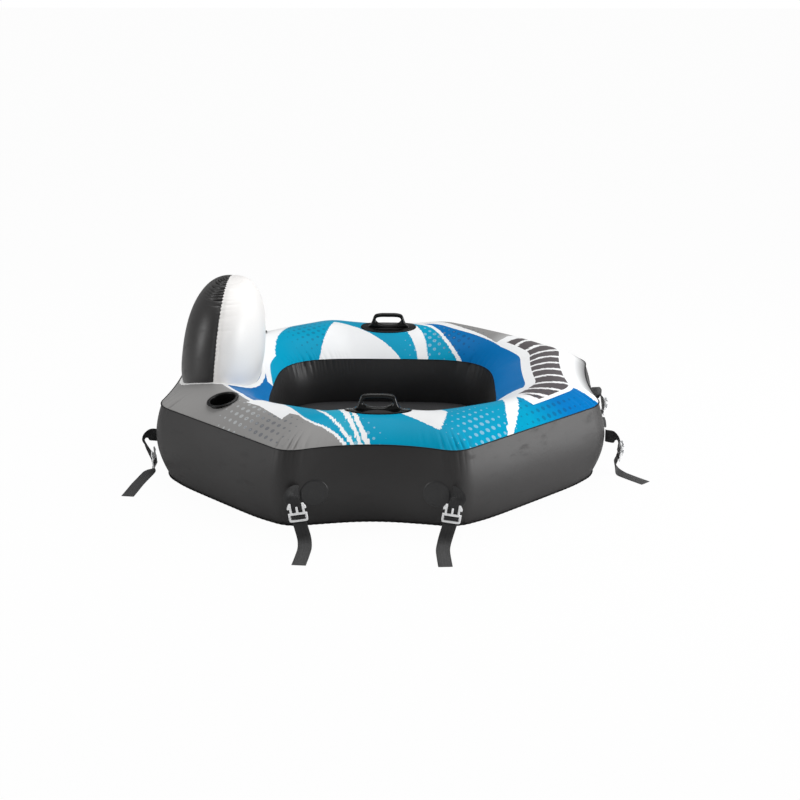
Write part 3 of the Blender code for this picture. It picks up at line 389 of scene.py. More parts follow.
def well_lift(v, at):
    corner, folds = well_gathers(at)
    gather = (WELL_EVEN + WELL_FOLD_DEEP * corner) * folds * fade(v * WELL_DROP, WELL_WALL_FADE)
    return slow_waves(ANGLE[at] * INNER[at], v * 0.2, WELL_WAVE) * np.sin(np.pi * v) - gather


def no_lift(v, at):
    return 0.0 * v


print("folds at the well's corners", 1000 * WELL_FOLD_DEEP, "mm deep,", 1000 * WELL_FOLD_PITCH, "mm apart")


# %% The four panels
def ring_panel(name, across, curve, lift, hint):
    return sheet_of(name, AROUND, across, lambda u, v: ring_points(u, v, curve, lift), SKIN, hint)


top = ring_panel("chamber_top", 44, top_curve, top_lift, upward)
wall = ring_panel("chamber_wall", 34, wall_curve, wall_lift, outward)
well = ring_panel("well_wall", 18, well_curve, well_lift, inward)
under = ring_panel("chamber_under", 14, under_curve, no_lift, downward)
print("ring panels", [len(o.data.polygons) for o in (top, wall, well, under)])


# %% Surfaces to set other pieces on
def tree_of(obj):
    shape = bmesh.new()
    shape.from_mesh(obj.data)
    tree = BVHTree.FromBMesh(shape)
    shape.free()
    return tree


def crest(x, y):
    """Height of the top panel's plain section over a point of the plan."""
    plan_x = np.asarray(x) - SLIDE_X
    angle = np.arctan2(y, plan_x)
    outer = np.interp(angle, ANGLE[ORDER], OUTER[ORDER], period=2 * np.pi)
    inner = well_radius(angle)
    t = (outer - np.hypot(plan_x, y)) / (outer - inner)
    return top_curve(np.clip(t, 0.0, 1.0), outer, inner)[1]


WALL_TREE = tree_of(wall)
ORDER = np.argsort(ANGLE)
print("crest beside the well", round(float(crest(SLIDE_X, 0.45)), 3), "m high")

# %% [markdown]
# ## Weld beads
# Where the printed top meets the charcoal wall, the two sheets are welded edge to edge, and the seam shows
# as a thin black line. Round the bottom the weld leaves a narrow flat lip, and the well's edge has a finer
# bead.
# All three are tubes run along a seam, painted near black: the black is painted shade in the seam's groove
# and under the wall's bottom edge.

# %% Weld beads
BEAD_OUT, LIP_OUT = 0.0012, FLOOR_FLARE + 0.0012
TUBE_STEPS, RIPPLE_PITCH = 10, 0.0175


def seam_tube(name, radius_of, height, half_wide, half_high, ripple=0.0):
    def place(u, v):
        at = station(u)
        turn = 2 * np.pi * v
        wave = ripple * np.sin(RUN[at] * 2 * np.pi / RIPPLE_PITCH)
        return on_ring(radius_of(at) + half_wide * np.cos(turn), ANGLE[at],
                       height + half_high * np.sin(turn) + wave)
    return sheet_of(name, AROUND, TUBE_STEPS, place, merge=1e-5)


top_bead = seam_tube("seam_bead", lambda at: OUTER[at] + BEAD_OUT, OUTER_SEAM_Z - 0.0006, 0.0022, 0.0014)
low_bead = seam_tube("floor_weld", lambda at: OUTER[at] + LIP_OUT - TUCK[at], FLOOR_SEAM_Z - 0.0004,
                     0.0034, 0.0012, ripple=0.0004)
well_bead = seam_tube("well_bead", lambda at: INNER[at], INNER_SEAM_Z, 0.0013, 0.0012)
print("weld beads", [len(o.data.polygons) for o in (top_bead, low_bead, well_bead)])

# %% [markdown]
# ## Finishes
# Every finish is built from a few nodes: slow noise for uneven colour, fine noise for the grain and its
# sheen, and a bump from the same grain. A small class keeps the wiring short. Patterns read Object
# coordinates, or the UV map of the sheet that they follow.

# %% A small kit for finishes
class Finish:
    """A material, with short calls for the nodes that the finishes here use."""

    def __init__(self, name):
        self.material = bpy.data.materials.new(name)
        self.material.use_nodes = True
        self.tree = self.material.node_tree
        self.shader = self.tree.nodes["Principled BSDF"]
        self.where = self.tree.nodes.new("ShaderNodeTexCoord")

    def wire(self, socket, value):
        if isinstance(value, bpy.types.NodeSocket):
            self.tree.links.new(value, socket)
        elif value is not None:
            socket.default_value = value

    def set(self, name, value):
        self.wire(self.shader.inputs[name], value)

    def node(self, kind, values, operation=None, data_type=None):
        """The outputs of a new node, whose inputs take the given numbers and sockets."""
        made = self.tree.nodes.new(kind)
        if operation:
            made.operation = operation
        if data_type:
            made.data_type = data_type
        for key, value in values.items():
            self.wire(made.inputs[key], value)
        return made.outputs

    def mapped(self, source="Object", scale=(1, 1, 1), turn=(0, 0, 0)):
        values = {"Vector": self.where.outputs[source], "Scale": scale, "Rotation": turn}
        return self.node("ShaderNodeMapping", values)[0]

    def noise(self, vector, scale, detail=3.0, rough=0.5):
        values = {"Vector": vector, "Scale": scale, "Detail": detail, "Roughness": rough}
        return self.node("ShaderNodeTexNoise", values)[0]

    def cells(self, vector, scale, uneven=1.0):
        values = {"Vector": vector, "Scale": scale, "Randomness": uneven}
        return self.node("ShaderNodeTexVoronoi", values)["Distance"]

    def math(self, operation, *values):
        return self.node("ShaderNodeMath", dict(enumerate(values)), operation)[0]

    def scaled(self, value, low, high, to_low=0.0, to_high=1.0):
        values = dict(enumerate((value, low, high, to_low, to_high)))
        return self.node("ShaderNodeMapRange", values)[0]

    def mix(self, factor, a, b):
        return self.node("ShaderNodeMix", {0: factor, 6: a, 7: b}, data_type="RGBA")[2]

    def split(self, vector):
        return self.node("ShaderNodeSeparateXYZ", {0: vector})

    def away(self, vector, centre):
        return self.node("ShaderNodeVectorMath", {0: vector, 1: centre}, "DISTANCE")["Value"]

    def bump(self, height, strength, distance, under=None):
        values = {"Strength": strength, "Distance": distance, "Height": height, "Normal": under}
        return self.node("ShaderNodeBump", values)[0]


def rgb(red, green, blue):
    """A colour from its 0 to 255 values, as linear light."""
    out = []
    for value in (red, green, blue):
        v = value / 255
        out.append(v / 12.92 if v <= 0.04045 else ((v + 0.055) / 1.055) ** 2.4)
    return (*out, 1.0)


def toned(colour, times, more=0.0):
    """A lighter or darker tone of a colour."""
    return (*(min(1.0, c * times + more) for c in colour[:3]), 1.0)


print("kit made, mid grey is", round(rgb(128, 128, 128)[0], 3), "in linear light")

# %% [markdown]
# ## Plain vinyl
# Sheet vinyl has a faint pebble from the calender rolls, slow changes of tone where it is stretched, and
# small scuffs that are duller. The pebble is fine cells, the tone slow noise, and the scuffs change the
# roughness and lift the colour a little.

# %% Plain vinyl
def pebbled(f, spot, grain):
    """The normal of calendered vinyl: a faint pebble over a soft ripple."""
    ripple = f.bump(f.noise(spot, 26.0, 2.0), 0.12, 0.0016)
    return f.bump(f.cells(spot, 620.0), grain, 0.00025, ripple)


def vinyl(name, colour, rough, vary=0.10, grain=0.25, gloss=0.5, wear=0.10):
    f = Finish(name)
    spot = f.mapped()
    slow = f.noise(spot, 3.2, 4.0)
    scuff = f.scaled(f.noise(f.mapped(scale=(1, 1, 2.4)), 17.0, 6.0, 0.62), 0.56, 0.72)
    dark, light = toned(colour, 1 - vary), toned(colour, 1 + vary, 0.002)
    tinted = f.mix(f.scaled(slow, 0.3, 0.7), dark, light)
    f.set("Base Color", f.mix(f.math("MULTIPLY", scuff, wear), tinted, light))
    f.set("Roughness", f.math("ADD", f.scaled(slow, 0.3, 0.7, rough - 0.03, rough + 0.03),
                              f.math("MULTIPLY", scuff, 0.14)))
    f.set("Specular IOR Level", gloss)
    f.set("Normal", pebbled(f, spot, grain))
    return f


charcoal = vinyl("charcoal_vinyl", rgb(49, 48, 48), 0.50, vary=0.10, gloss=0.32, wear=0.04)
well_skin = vinyl("well_vinyl", rgb(43, 42, 42), 0.44, vary=0.12, gloss=0.4)
under_skin = vinyl("under_vinyl", rgb(38, 38, 39), 0.50, grain=0.6)
white_skin = vinyl("white_vinyl", rgb(241, 239, 237), 0.38, vary=0.02, wear=0.04, gloss=0.3)
grey_skin = vinyl("grey_vinyl", rgb(40, 39, 39), 0.40, vary=0.08)
# Near black, darker than the vinyl: painted shade along the seams and under the wall's bottom edge
seam_shade_skin = vinyl("weld_painted_shade", rgb(9, 9, 10), 0.55, vary=0.10, gloss=0.25)
pale_weld = vinyl("pale_weld", rgb(250, 250, 249), 0.40, vary=0.01, wear=0.0, gloss=0.3)
patch_skin = vinyl("patch_vinyl", rgb(33, 33, 34), 0.38, vary=0.10)
vinyls = (charcoal, well_skin, under_skin, white_skin, grey_skin, seam_shade_skin, pale_weld, patch_skin)
print("vinyls", [v.material.name for v in vinyls])

# %% [markdown]
# ## Printed vinyl
# The top is white vinyl with a bold print: a grey shoulder at the head, slanting bands of teal and blue with
# white between them, fields of round dots, and a white plate of plain slanted bars across the foot. Each
# band is a region between lines. A line is written in two numbers: the run round the ring, from -1 at the
# head over the near side to 1 over the far side with 0 at the foot, and the place across the sheet, 0 at the
# outer seam and 1 at the well. Streaky noise frays the lines like a dry brush. The grey band at the foot's
# outer edge is not print but painted shade, where the top rolls over to the wall.

# %% Colours and lines of the print
WHITE, TEAL, BLUE = rgb(243, 244, 245), rgb(0, 154, 192), rgb(2, 111, 179)
PALE_TEAL, GREY, DEEP_GREY = rgb(34, 166, 197), rgb(146, 145, 144), rgb(92, 87, 89)


def past(a, b=0.0, c=0.0):
    """The side of a line with more run than a + b v + c v2."""
    return -a, 1.0, -b, -c


def short(a, b=0.0, c=0.0):
    return a, -1.0, b, c


def above(a, k=0.0):
    """The side of a line nearer the well than a + k run."""
    return -a, -k, 1.0, 0.0


def below(a, k=0.0):
    return a, k, -1.0, 0.0


PAINT = [
    (GREY, [short(-0.548, -0.14, -0.19)]),
    (WHITE, [past(-0.800), short(-0.655), above(-0.87, -1.76)]),
    (WHITE, [short(-0.770), above(0.555)]),
    (BLUE, [past(-0.800), short(-0.690), above(-0.81, -1.76)]),
    (BLUE, [short(-0.790), above(0.605)]),
    (WHITE, [past(-0.752), short(-0.628), above(0.400)]),
    (WHITE, [past(-0.632), short(-0.560, -0.14, -0.19), above(0.720)]),
    (TEAL, [past(-0.542, -0.14, -0.19), short(-0.538, -0.115, -0.04)]),
    (PALE_TEAL, [past(-0.532, -0.115, -0.04), short(-0.5255, -0.085, -0.02)]),
    (PALE_TEAL, [past(-0.5205, -0.078), short(-0.5165, -0.078)]),
    (TEAL, [past(-0.508, -0.08), short(-0.300, 0.11)]),
    (WHITE, [past(-0.51), short(-0.37), above(-1.533, -4.3), above(3.827, 9.0)]),
    ("tide", [past(-0.288, 0.19, -0.08), short(-0.100), below(0.66)]),
    (BLUE, [past(-0.120), short(0.195), above(0.715)]),
    (BLUE, [past(0.190), short(0.544, -0.277), above(0.940, -1.18)]),
    ("shade", [past(0.120), short(0.420), below(1.060, -1.80), below(0.665)]),
    (TEAL, [past(0.556, -0.276), short(0.506, -0.143)]),
    (TEAL, [past(0.547, -0.152), short(0.749, -0.297)]),
    (TEAL, [past(0.545, 0.168), short(0.640, 0.217), below(0.865)]),
    (TEAL, [past(0.545, 0.168), short(-0.231, 1.230), above(0.860)]),
    (BLUE, [past(1.713, -2.717, 2.083), above(0.62)]),
    (WHITE, [past(0.845), below(0.515)]),
    (GREY, [past(0.860), below(0.500)]),
    (WHITE, [past(-0.212), short(0.212), above(0.245), below(0.665)]),
    # Not print: painted shade, grey at the foot's outer seam and white further in
    ("rim", [past(-0.070), short(0.135), below(0.150)]),
]
LIGHT_SPOTS = [(-0.395, -0.440, 0.11), (0.265, -0.505, 0.13), (-0.075, -0.560, 0.08), (0.120, 0.370, 0.11)]
DARK_SPOTS = [(-0.330, -0.520, 0.12), (0.470, -0.340, 0.17), (0.215, 0.380, 0.12), (-0.300, 0.400, 0.13)]
# Bars of the foot's plate: how many to a whole run, their slant, the gap's share, and the plate's reach
BAR_COUNT, BAR_SLANT, BAR_GAP, PLATE_RUN, PLATE_FROM, PLATE_TO = 26.0, 1.7, 0.24, 0.190, 0.295, 0.615
DOT_COUNT, DOT_SIZE = 43.0, 0.27
print("bands", len(PAINT), "dot fields", len(LIGHT_SPOTS) + len(DARK_SPOTS))


# %% Printed vinyl
def printed_vinyl():
    f = Finish("printed_vinyl")
    across = f.split(f.mapped("UV"))[1]
    place = f.mapped()
    x, y, _ = f.split(place)
    turn = f.math("ARCTAN2", y, f.math("SUBTRACT", x, SLIDE_X))
    brush = f.noise(f.mapped("UV", scale=(820.0, 5.0, 1.0)), 1.0, 3.0, 0.6)
    streak = f.scaled(brush, 0.25, 0.75, -0.0030, 0.0030)
    ragged = f.scaled(f.noise(place, 95.0, 3.0, 0.6), 0.2, 0.8, -0.0016, 0.0016)
    run = f.math("ADD", f.math("DIVIDE", turn, math.pi), f.math("ADD", streak, ragged))

    def inside(line):
        a, s, b, c = line
        slope = f.math("MULTIPLY_ADD", across, c, b) if c else b
        part = f.math("MULTIPLY_ADD", across, slope, a)
        return f.math("GREATER_THAN", f.math("MULTIPLY_ADD", run, s, part), 0.0)

    # The rim tone is painted shade where the top rolls over at the foot's outer edge
    tones = {"tide": f.mix(f.scaled(run, -0.240, -0.165), TEAL, BLUE),
             "shade": f.mix(f.scaled(run, 0.130, 0.240), WHITE, GREY),
             "rim": f.mix(f.scaled(across, 0.0, 0.15), rgb(112, 112, 113), WHITE)}
    base = WHITE
    for colour, lines in PAINT:
        region = inside(lines[0])
        for line in lines[1:]:
            region = f.math("MULTIPLY", region, inside(line))
        base = f.mix(region, base, tones[colour] if isinstance(colour, str) else colour)
    # Plain slanted bars on the foot's white plate
    slant = f.math("FRACT", f.math("MULTIPLY_ADD", run, BAR_COUNT, f.math("MULTIPLY", across, BAR_SLANT)))
    bars = f.math("GREATER_THAN", slant, BAR_GAP)
    for limit in (f.math("LESS_THAN", f.math("ABSOLUTE", run), PLATE_RUN),
                  f.math("GREATER_THAN", across, PLATE_FROM), f.math("LESS_THAN", across, PLATE_TO)):
        bars = f.math("MULTIPLY", bars, limit)
    base = f.mix(bars, base, DEEP_GREY)
    # Round dots on a diagonal grid, largest in the middle of each field
    grid = f.cells(f.mapped(scale=(1, 1, 0), turn=(0, 0, math.radians(45))), DOT_COUNT, uneven=0.0)
    coloured = f.math("LESS_THAN", f.split(base)[0], 0.6)
    for spots, tint, amount in ((LIGHT_SPOTS, rgb(235, 245, 250), 0.26), (DARK_SPOTS, rgb(24, 48, 78), 0.38)):
        size = 0.0
        for cx, cy, reach in spots:
            gap = f.away(f.mapped(scale=(1, 1, 0)), (cx, cy, 0.0))
            size = f.math("MAXIMUM", size, f.scaled(gap, reach, 0.25 * reach, 0.0, DOT_SIZE))
        dots = f.math("MULTIPLY", f.math("LESS_THAN", grid, size), coloured)
        base = f.mix(f.math("MULTIPLY", dots, amount), base, tint)
    slow = f.noise(place, 3.1, 4.0)
    f.set("Base Color", f.mix(f.scaled(slow, 0.42, 0.70, 0.0, 0.07), base, rgb(0, 0, 0)))
    f.set("Roughness", f.scaled(slow, 0.3, 0.7, 0.31, 0.38))
    f.set("Specular IOR Level", 0.05)
    f.set("Normal", pebbled(f, place, 0.2))
    return f


print_skin = printed_vinyl()
print("print made of", len(print_skin.tree.nodes), "nodes")

# %% The ring's pieces take their finishes
def ready(obj, body, slot, skin, *nodes):
    """Gives a piece its material, its body and the solids that it stands for; the slot is not used."""
    obj.data.materials.clear()
    obj.data.materials.append(skin)
    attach(obj, body)
    if nodes:
        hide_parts(*nodes)
    print(obj.name, len(obj.data.polygons), "faces")
    return obj


ready(wall, "hull", "charcoal_vinyl", charcoal.material, "outer_band")
ready(well, "hull", "well_vinyl", well_skin.material, "inner_band")
ready(under, "hull", "under_vinyl", under_skin.material, "bottom_panel")
# The beads' near-black colour is painted shade in the seam grooves and under the wall
ready(top_bead, "hull", "charcoal_vinyl", seam_shade_skin.material)
ready(low_bead, "hull", "charcoal_vinyl", seam_shade_skin.material)
ready(well_bead, "hull", "well_vinyl", seam_shade_skin.material)

# %% [markdown]
# ## Well floor
# The seat well is closed below by a dark open-weave sheet, stretched from wall to wall 60 mm up. It is one
# thin sheet with a slight sag and soft ripples near its rim, and its weave is drawn in the finish.

# %% Well floor
MESH_THICK, FLOOR_SAG, RIM_GAP, YARN_TURN = 0.0012, 0.0030, 0.0008, 1500.0


def floor_place(u, v):
    """Rings from the middle out to the wall, so the sheet's squares turn with the well."""
    angle = 2 * np.pi * u
    rim_t = (INNER_SEAM_Z - WELL_FLOOR_Z) / WELL_DROP
    edge = well_radius(angle) - WELL_BULGE * math.sin(math.pi * rim_t) - RIM_GAP
    wave = 0.0008 * np.sin(9 * angle) * v ** 6 * (1 - v) * 9
    return on_ring(edge * v, angle, WELL_FLOOR_Z - 0.0002 - FLOOR_SAG * (1 - v ** 2) + wave)


def mesh_cloth():
    f = Finish("floor_mesh")
    a, b, _ = f.split(f.mapped(turn=(0, 0, math.radians(45))))
    warp = f.math("SINE", f.math("MULTIPLY", a, YARN_TURN))
    weft = f.math("SINE", f.math("MULTIPLY", b, YARN_TURN))
    yarn = f.math("MAXIMUM", warp, weft)
    slow = f.noise(f.mapped(), 6.0, 3.0)
    # Yarn crossings lighter and the gaps between the yarns darker: painted shade
    colour = f.mix(f.scaled(yarn, -0.4, 1.0), rgb(18, 18, 19), rgb(66, 66, 68))
    f.set("Base Color", f.mix(f.scaled(slow, 0.4, 0.7, 0.0, 0.3), colour, rgb(44, 44, 45)))
    f.set("Roughness", 0.62)
    f.set("Normal", f.bump(yarn, 0.5, 0.0004))
    return f


well_floor = sheet_of("well_sheet", 192, 40, floor_place, MESH_THICK, upward, merge=2e-5)
mesh_skin = mesh_cloth()
ready(well_floor, "hull", "floor_mesh", mesh_skin.material, "well_floor")

# %% [markdown]
# ## Headrest
# The headrest is a tall pillow of two inflated halves welded round their edge, white to the seat and dark
# grey behind. Air rounds each half, and the weld holds its edge short, so folds fan out from the seam over
# the top. It stands on the ring, so its foot follows the crest under it. Its form is set straight on a closed
# half shell rather than blown up by simulation, because the folds are narrower than a remesh would keep.

# %% Headrest shape
REST_HALF_WIDTH, REST_DEPTH = 0.211, 0.124
REST_FOOT_Z, REST_BASE_Z, REST_TOP_Z = 0.262, 0.265, 0.556
REST_SEAM_FOOT_X, REST_SEAM_TOP_X = -0.504, -0.471
REST_ROUND, FLANGE_THICK = 0.86, 0.0012
# How the width and depth close over the top, and how the pillow draws in just above its foot
WIDTH_POWER, DEPTH_POWER = 0.46, 1 / 2.4
REST_TUCK, TUCK_TOP, TUCK_HIGH = 0.012, 0.05, 0.09
BACK_FOLD_DEEP, BACK_FOLD_PITCH, BACK_FOLD_REACH = 0.0125, 0.0150, 0.044
STITCH_PITCH, STITCH_REACH = 0.0115, 0.010


def squared(value, power):
    """A sine or cosine raised to a power with its sign kept, which squares off a circle."""
    return np.sign(value) * np.abs(value) ** power


def rest_slice(height):
    """Half width, depth and seam position of the headrest at a height."""
    s = np.clip((height - REST_BASE_Z) / (REST_TOP_Z - REST_BASE_Z), 0.0, 1.0)
    part = 1 - s ** 3
    tuck = REST_TUCK * np.clip((REST_BASE_Z + TUCK_TOP - height) / TUCK_HIGH, 0.0, 1.0) ** 2
    width = (REST_HALF_WIDTH - tuck) * part ** WIDTH_POWER
    depth = (REST_DEPTH - tuck) * part ** DEPTH_POWER
    return width, depth, REST_SEAM_FOOT_X + (REST_SEAM_TOP_X - REST_SEAM_FOOT_X) * s


LEVELS = np.linspace(REST_FOOT_Z, REST_TOP_Z, 900)
EDGE_RUN = np.concatenate([[0.0], np.cumsum(np.hypot(np.diff(rest_slice(LEVELS)[0]), np.diff(LEVELS)))])
print("headrest seam from foot to top", round(float(EDGE_RUN[-1]), 3), "m")


# %% Folds of the headrest
def rest_stitch(run, inside, deep):
    """The finest gathers, right beside the weld."""
    return deep * valleys(run, STITCH_PITCH, 2.0) * fade(inside, STITCH_REACH)


def back_folds(run, inside, level):
    over = np.clip((level - 0.80) / 0.10, 0.0, 1.0)
    deep = BACK_FOLD_DEEP * over * valleys(run, BACK_FOLD_PITCH, 0.6) * fade(inside, BACK_FOLD_REACH)
    return deep + rest_stitch(run, inside, 0.0007)


def front_folds(run, inside, level):
    """Shallow gathers at the seam, and a few long soft creases."""
    over = 0.25 + 0.75 * np.clip((level - 0.55) / 0.3, 0.0, 1.0)
    deep = 0.0012 * over * valleys(run, 0.0190, 1.1) * fade(inside, 0.032)
    slow = 0.0010 * valleys(run, 0.052, 0.4) * fade(inside, 0.060)
    return deep + slow + rest_stitch(run, inside, 0.0006)


print("folds over the headrest", 1000 * BACK_FOLD_DEEP, "mm deep,", 1000 * BACK_FOLD_PITCH, "mm apart")


# %% The two halves of the headrest
SEAM_PINCH, PINCH_REACH = 0.030, 0.009
ROUND_FROM, ROUND_HIGH = 0.40, 0.17
# The trimmed edge of the seam is scalloped, more so above a height
SCALLOP_LOW, SCALLOP_MORE, SCALLOP_FROM, SCALLOP_RISE = 0.0008, 0.0012, 0.46, 0.05
SCALLOP_PITCH, SCALLOP_REACH = 0.0125, 0.012


def rest_place(side, folds):
    def place(u, v):
        angle = np.pi * u
        c, s = np.cos(angle), np.sin(angle)
        foot = np.full_like(u, REST_FOOT_Z)
        for _ in range(3):
            width, depth, seam = rest_slice(foot)
            foot = crest(seam + side * depth * s ** REST_ROUND + SLIDE_X, -width * squared(c, REST_ROUND))
            foot = foot + FLANGE_THICK
        height = foot + (REST_TOP_Z - foot) * np.sin(0.5 * np.pi * v) ** 0.85
        width, depth, seam = rest_slice(height)
        # Length along the seam from the foot, and how far in from the seam a point lies
        run = np.interp(height, LEVELS, EDGE_RUN) + 0.011 * (c > 0)
        inside = depth * s ** REST_ROUND
        lift = folds(run, inside, (height - REST_BASE_Z) / (REST_TOP_Z - REST_BASE_Z))
        lift = lift * (1 - fade(width, 0.008)) * np.clip(v / 0.05, 0.0, 1.0)
        pinch = 1 - SEAM_PINCH * fade(inside, PINCH_REACH) * (v < 0.999)
        x, y = seam + side * inside, -width * squared(c, REST_ROUND) * pinch
        # The folds lie along the pillow's own rounding
        rounding = np.maximum(height - ROUND_FROM, 0.0) / ROUND_HIGH ** 2
        way = np.array([side * inside / REST_DEPTH ** 2, y / REST_HALF_WIDTH ** 2, rounding])
        way = way / (np.linalg.norm(way, axis=0) + 1e-9)
        scallop = SCALLOP_LOW + SCALLOP_MORE * np.clip((height - SCALLOP_FROM) / SCALLOP_RISE, 0.0, 1.0)
        scallop = scallop * np.sin(run * 2 * np.pi / SCALLOP_PITCH) * fade(inside, SCALLOP_REACH)
        x = x + SLIDE_X + side * 0.00015 + lift * way[0] + scallop * (width > 0.02)
        return np.column_stack([x, y + lift * way[1], height + lift * way[2]])
    return place


def rest_hint(side):
    return lambda c: Vector((c.x - (-0.49 + SLIDE_X) + side * 0.02, c.y, c.z - 0.32))


rest_front = sheet_of("headrest_white", 150, 160, rest_place(1, front_folds), SKIN, rest_hint(1), merge=4e-5)
rest_back = sheet_of("headrest_dark", 150, 160, rest_place(-1, back_folds), SKIN, rest_hint(-1), merge=4e-5)
ready(rest_front, "hull", "white_vinyl", white_skin.material, "headrest_front")
ready(rest_back, "hull", "grey_vinyl", grey_skin.material, "headrest_back")


# %% The white weld lip round the headrest's foot
LIP_WIDTH, LIP_INSIDE, LIP_ROUND, LIP_EDGE = 0.012, 0.30, 2 / 2.3, 0.0004


def lip_place(u, v):
    angle = 2 * np.pi * u
    width, depth, seam = rest_slice(REST_BASE_Z)
    out = LIP_WIDTH * (v - LIP_INSIDE) + 0.0007 * np.sin(angle * 37) * v
    x = seam + (depth + out) * squared(np.cos(angle), LIP_ROUND) + SLIDE_X
    y = (width + out) * squared(np.sin(angle), LIP_ROUND)
    return np.column_stack([x, y, crest(x, y) + 0.0003 + FLANGE_THICK])


def round_edges(obj, width):
    """A fine bevel of two segments on every sharp edge."""
    bevel = obj.modifiers.new("Bevel", "BEVEL")
    bevel.width, bevel.segments = width, 2
    return applied(obj, bevel)


rest_lip = sheet_of("headrest_lip", 220, 6, lip_place, FLANGE_THICK, upward)
round_edges(rest_lip, LIP_EDGE)
ready(rest_lip, "hull", "weld_strip", pale_weld.material, "headrest_flange")

# %% [markdown]
# ## Cup holders
# A cup holder is a deep moulded cup that drops through a hole in the top panel and rests on its rim. One
# circle is extruded ring by ring: over the rim, down the bore, across the floor with its raised button, as on
# a lathe. The hole is cut with a plain cylinder that is turned the same way.

# %% A turned piece, made by extruding one circle
TURN_STEPS, TURN_SMOOTH = 64, math.radians(40)


def turned(name, profile, place):
    """A profile of (radius, height) extruded ring by ring from a circle, and closed at both ends."""
    alone()
    start_radius, start_height = profile[0]
    bpy.ops.mesh.primitive_circle_add(vertices=TURN_STEPS, radius=start_radius, fill_type="NOTHING",
                                      location=(0, 0, start_height))
    obj = named(name)
    bpy.ops.object.transform_apply(location=True, rotation=True, scale=True)
    bpy.ops.object.mode_set(mode="EDIT")
    bpy.ops.mesh.select_mode(type="EDGE")
    bpy.ops.mesh.select_all(action="SELECT")
    bpy.ops.mesh.edge_face_add()
    radius, height = start_radius, start_height
    for new_radius, new_height in profile[1:]:
        bpy.ops.mesh.extrude_region_move(TRANSFORM_OT_translate={"value": (0, 0, new_height - height)})
        factor = new_radius / radius
        bpy.ops.transform.resize(value=(factor, factor, 1), center_override=(0, 0, new_height))
        radius, height = new_radius, new_height
    bpy.ops.object.mode_set(mode="OBJECT")
    obj.matrix_world = place
    bpy.ops.object.transform_apply(location=True, rotation=True, scale=True)
    close_up(obj)
    bpy.ops.object.shade_smooth_by_angle(angle=TURN_SMOOTH)
    return obj


CUP_X, CUP_Y, CUP_TILT = -0.452, 0.343, math.radians(13)
CUP_BORE, CUP_WALL, CUP_DEPTH, CUP_RIM, CUP_UP = 0.0375, 0.0022, 0.045, 0.0475, 0.0032
CUP_HOLE, CUP_CUT = CUP_BORE + CUP_WALL + 0.0008, 0.05
print("cup bore", round(2000 * CUP_BORE), "mm, rim", round(2000 * CUP_RIM), "mm across")


# %% Cup holders
def cup_frame(side):
    x, y = CUP_X, side * CUP_Y
    hit = Vector((x + SLIDE_X, y, float(crest(x + SLIDE_X, y))))
    return Matrix.Translation(hit) @ Matrix.Rotation(CUP_TILT, 4, Vector((-y, x, 0.0)).normalized())


def cup_profile():
    barrel, floor = CUP_BORE + CUP_WALL, CUP_UP - CUP_DEPTH
    outside = [(barrel - 0.010, floor - CUP_WALL), (barrel - 0.003, floor - CUP_WALL + 0.0006),
               (barrel - 0.0006, floor + 0.002), (barrel, floor + 0.006), (barrel, -0.006),
               (barrel + 0.0006, -0.0035)]
    rim = [(CUP_RIM - 0.0022, 0.0002), (CUP_RIM - 0.0004, 0.0006), (CUP_RIM, 0.0013),
           (CUP_RIM - 0.0004, 0.0022), (CUP_RIM - 0.0016, CUP_UP - 0.0003), (CUP_RIM - 0.0030, CUP_UP),
           (CUP_BORE + 0.0030, CUP_UP), (CUP_BORE + 0.0012, CUP_UP - 0.0003),
           (CUP_BORE + 0.0002, CUP_UP - 0.0014)]
    inside = [(CUP_BORE - 0.0002, CUP_UP - 0.004), (CUP_BORE - 0.0010, floor + 0.009),
              (CUP_BORE - 0.0022, floor + 0.004), (CUP_BORE - 0.0055, floor + 0.0008),
              (CUP_BORE - 0.009, floor)]
    button = [(0.0135, floor), (0.0125, floor + 0.0010), (0.0110, floor + 0.0010), (0.0100, floor),
              (0.0070, floor + 0.0004), (0.0062, floor + 0.0026), (0.0045, floor + 0.0034),
              (0.0012, floor + 0.0036)]
    return outside + rim + inside + button


def moulding(name, colour, rough, gloss=0.5, grain=0.3):
    """Moulded plastic: a fine spark-eroded texture, with faint flow marks in a lighter tone."""
    f = Finish(name)
    spot = f.mapped()
    flow = f.noise(f.mapped(scale=(1, 3, 1)), 24.0, 5.0, 0.6)
    fine = f.noise(spot, 900.0, 2.0)
    f.set("Base Color", f.mix(f.scaled(flow, 0.35, 0.75, 0.0, 0.5), colour, toned(colour, 1.35, 0.006)))
    f.set("Roughness", f.scaled(flow, 0.3, 0.7, rough - 0.04, rough + 0.06))
    f.set("Specular IOR Level", gloss)
    f.set("Normal", f.bump(fine, grain, 0.00015))
    return f


def cut(obj, cutter):
    """Cuts the cutter out of a piece and removes it."""
    hole = obj.modifiers.new("Boolean", "BOOLEAN")
    hole.operation, hole.solver, hole.object = "DIFFERENCE", "EXACT", cutter
    applied(obj, hole)
    bpy.data.objects.remove(cutter, do_unlink=True)


cup_skin = moulding("cup_plastic", rgb(9, 9, 10), 0.30, gloss=0.30)
for tag, side in (("near", -1), ("far", 1)):
    cup_place = cup_frame(side)
    cut(top, turned("cutter", [(CUP_HOLE, -CUP_CUT), (CUP_HOLE, CUP_CUT)], cup_place))
    cup = turned("cup_" + tag, cup_profile(), cup_place)
    ready(cup, "hull", "cup_plastic", cup_skin.material, "cup_holder_" + tag)
take(top)
bpy.ops.object.shade_smooth_by_angle(angle=SHEET_SMOOTH)
ready(top, "hull", "printed_vinyl", print_skin.material, "top_panel")

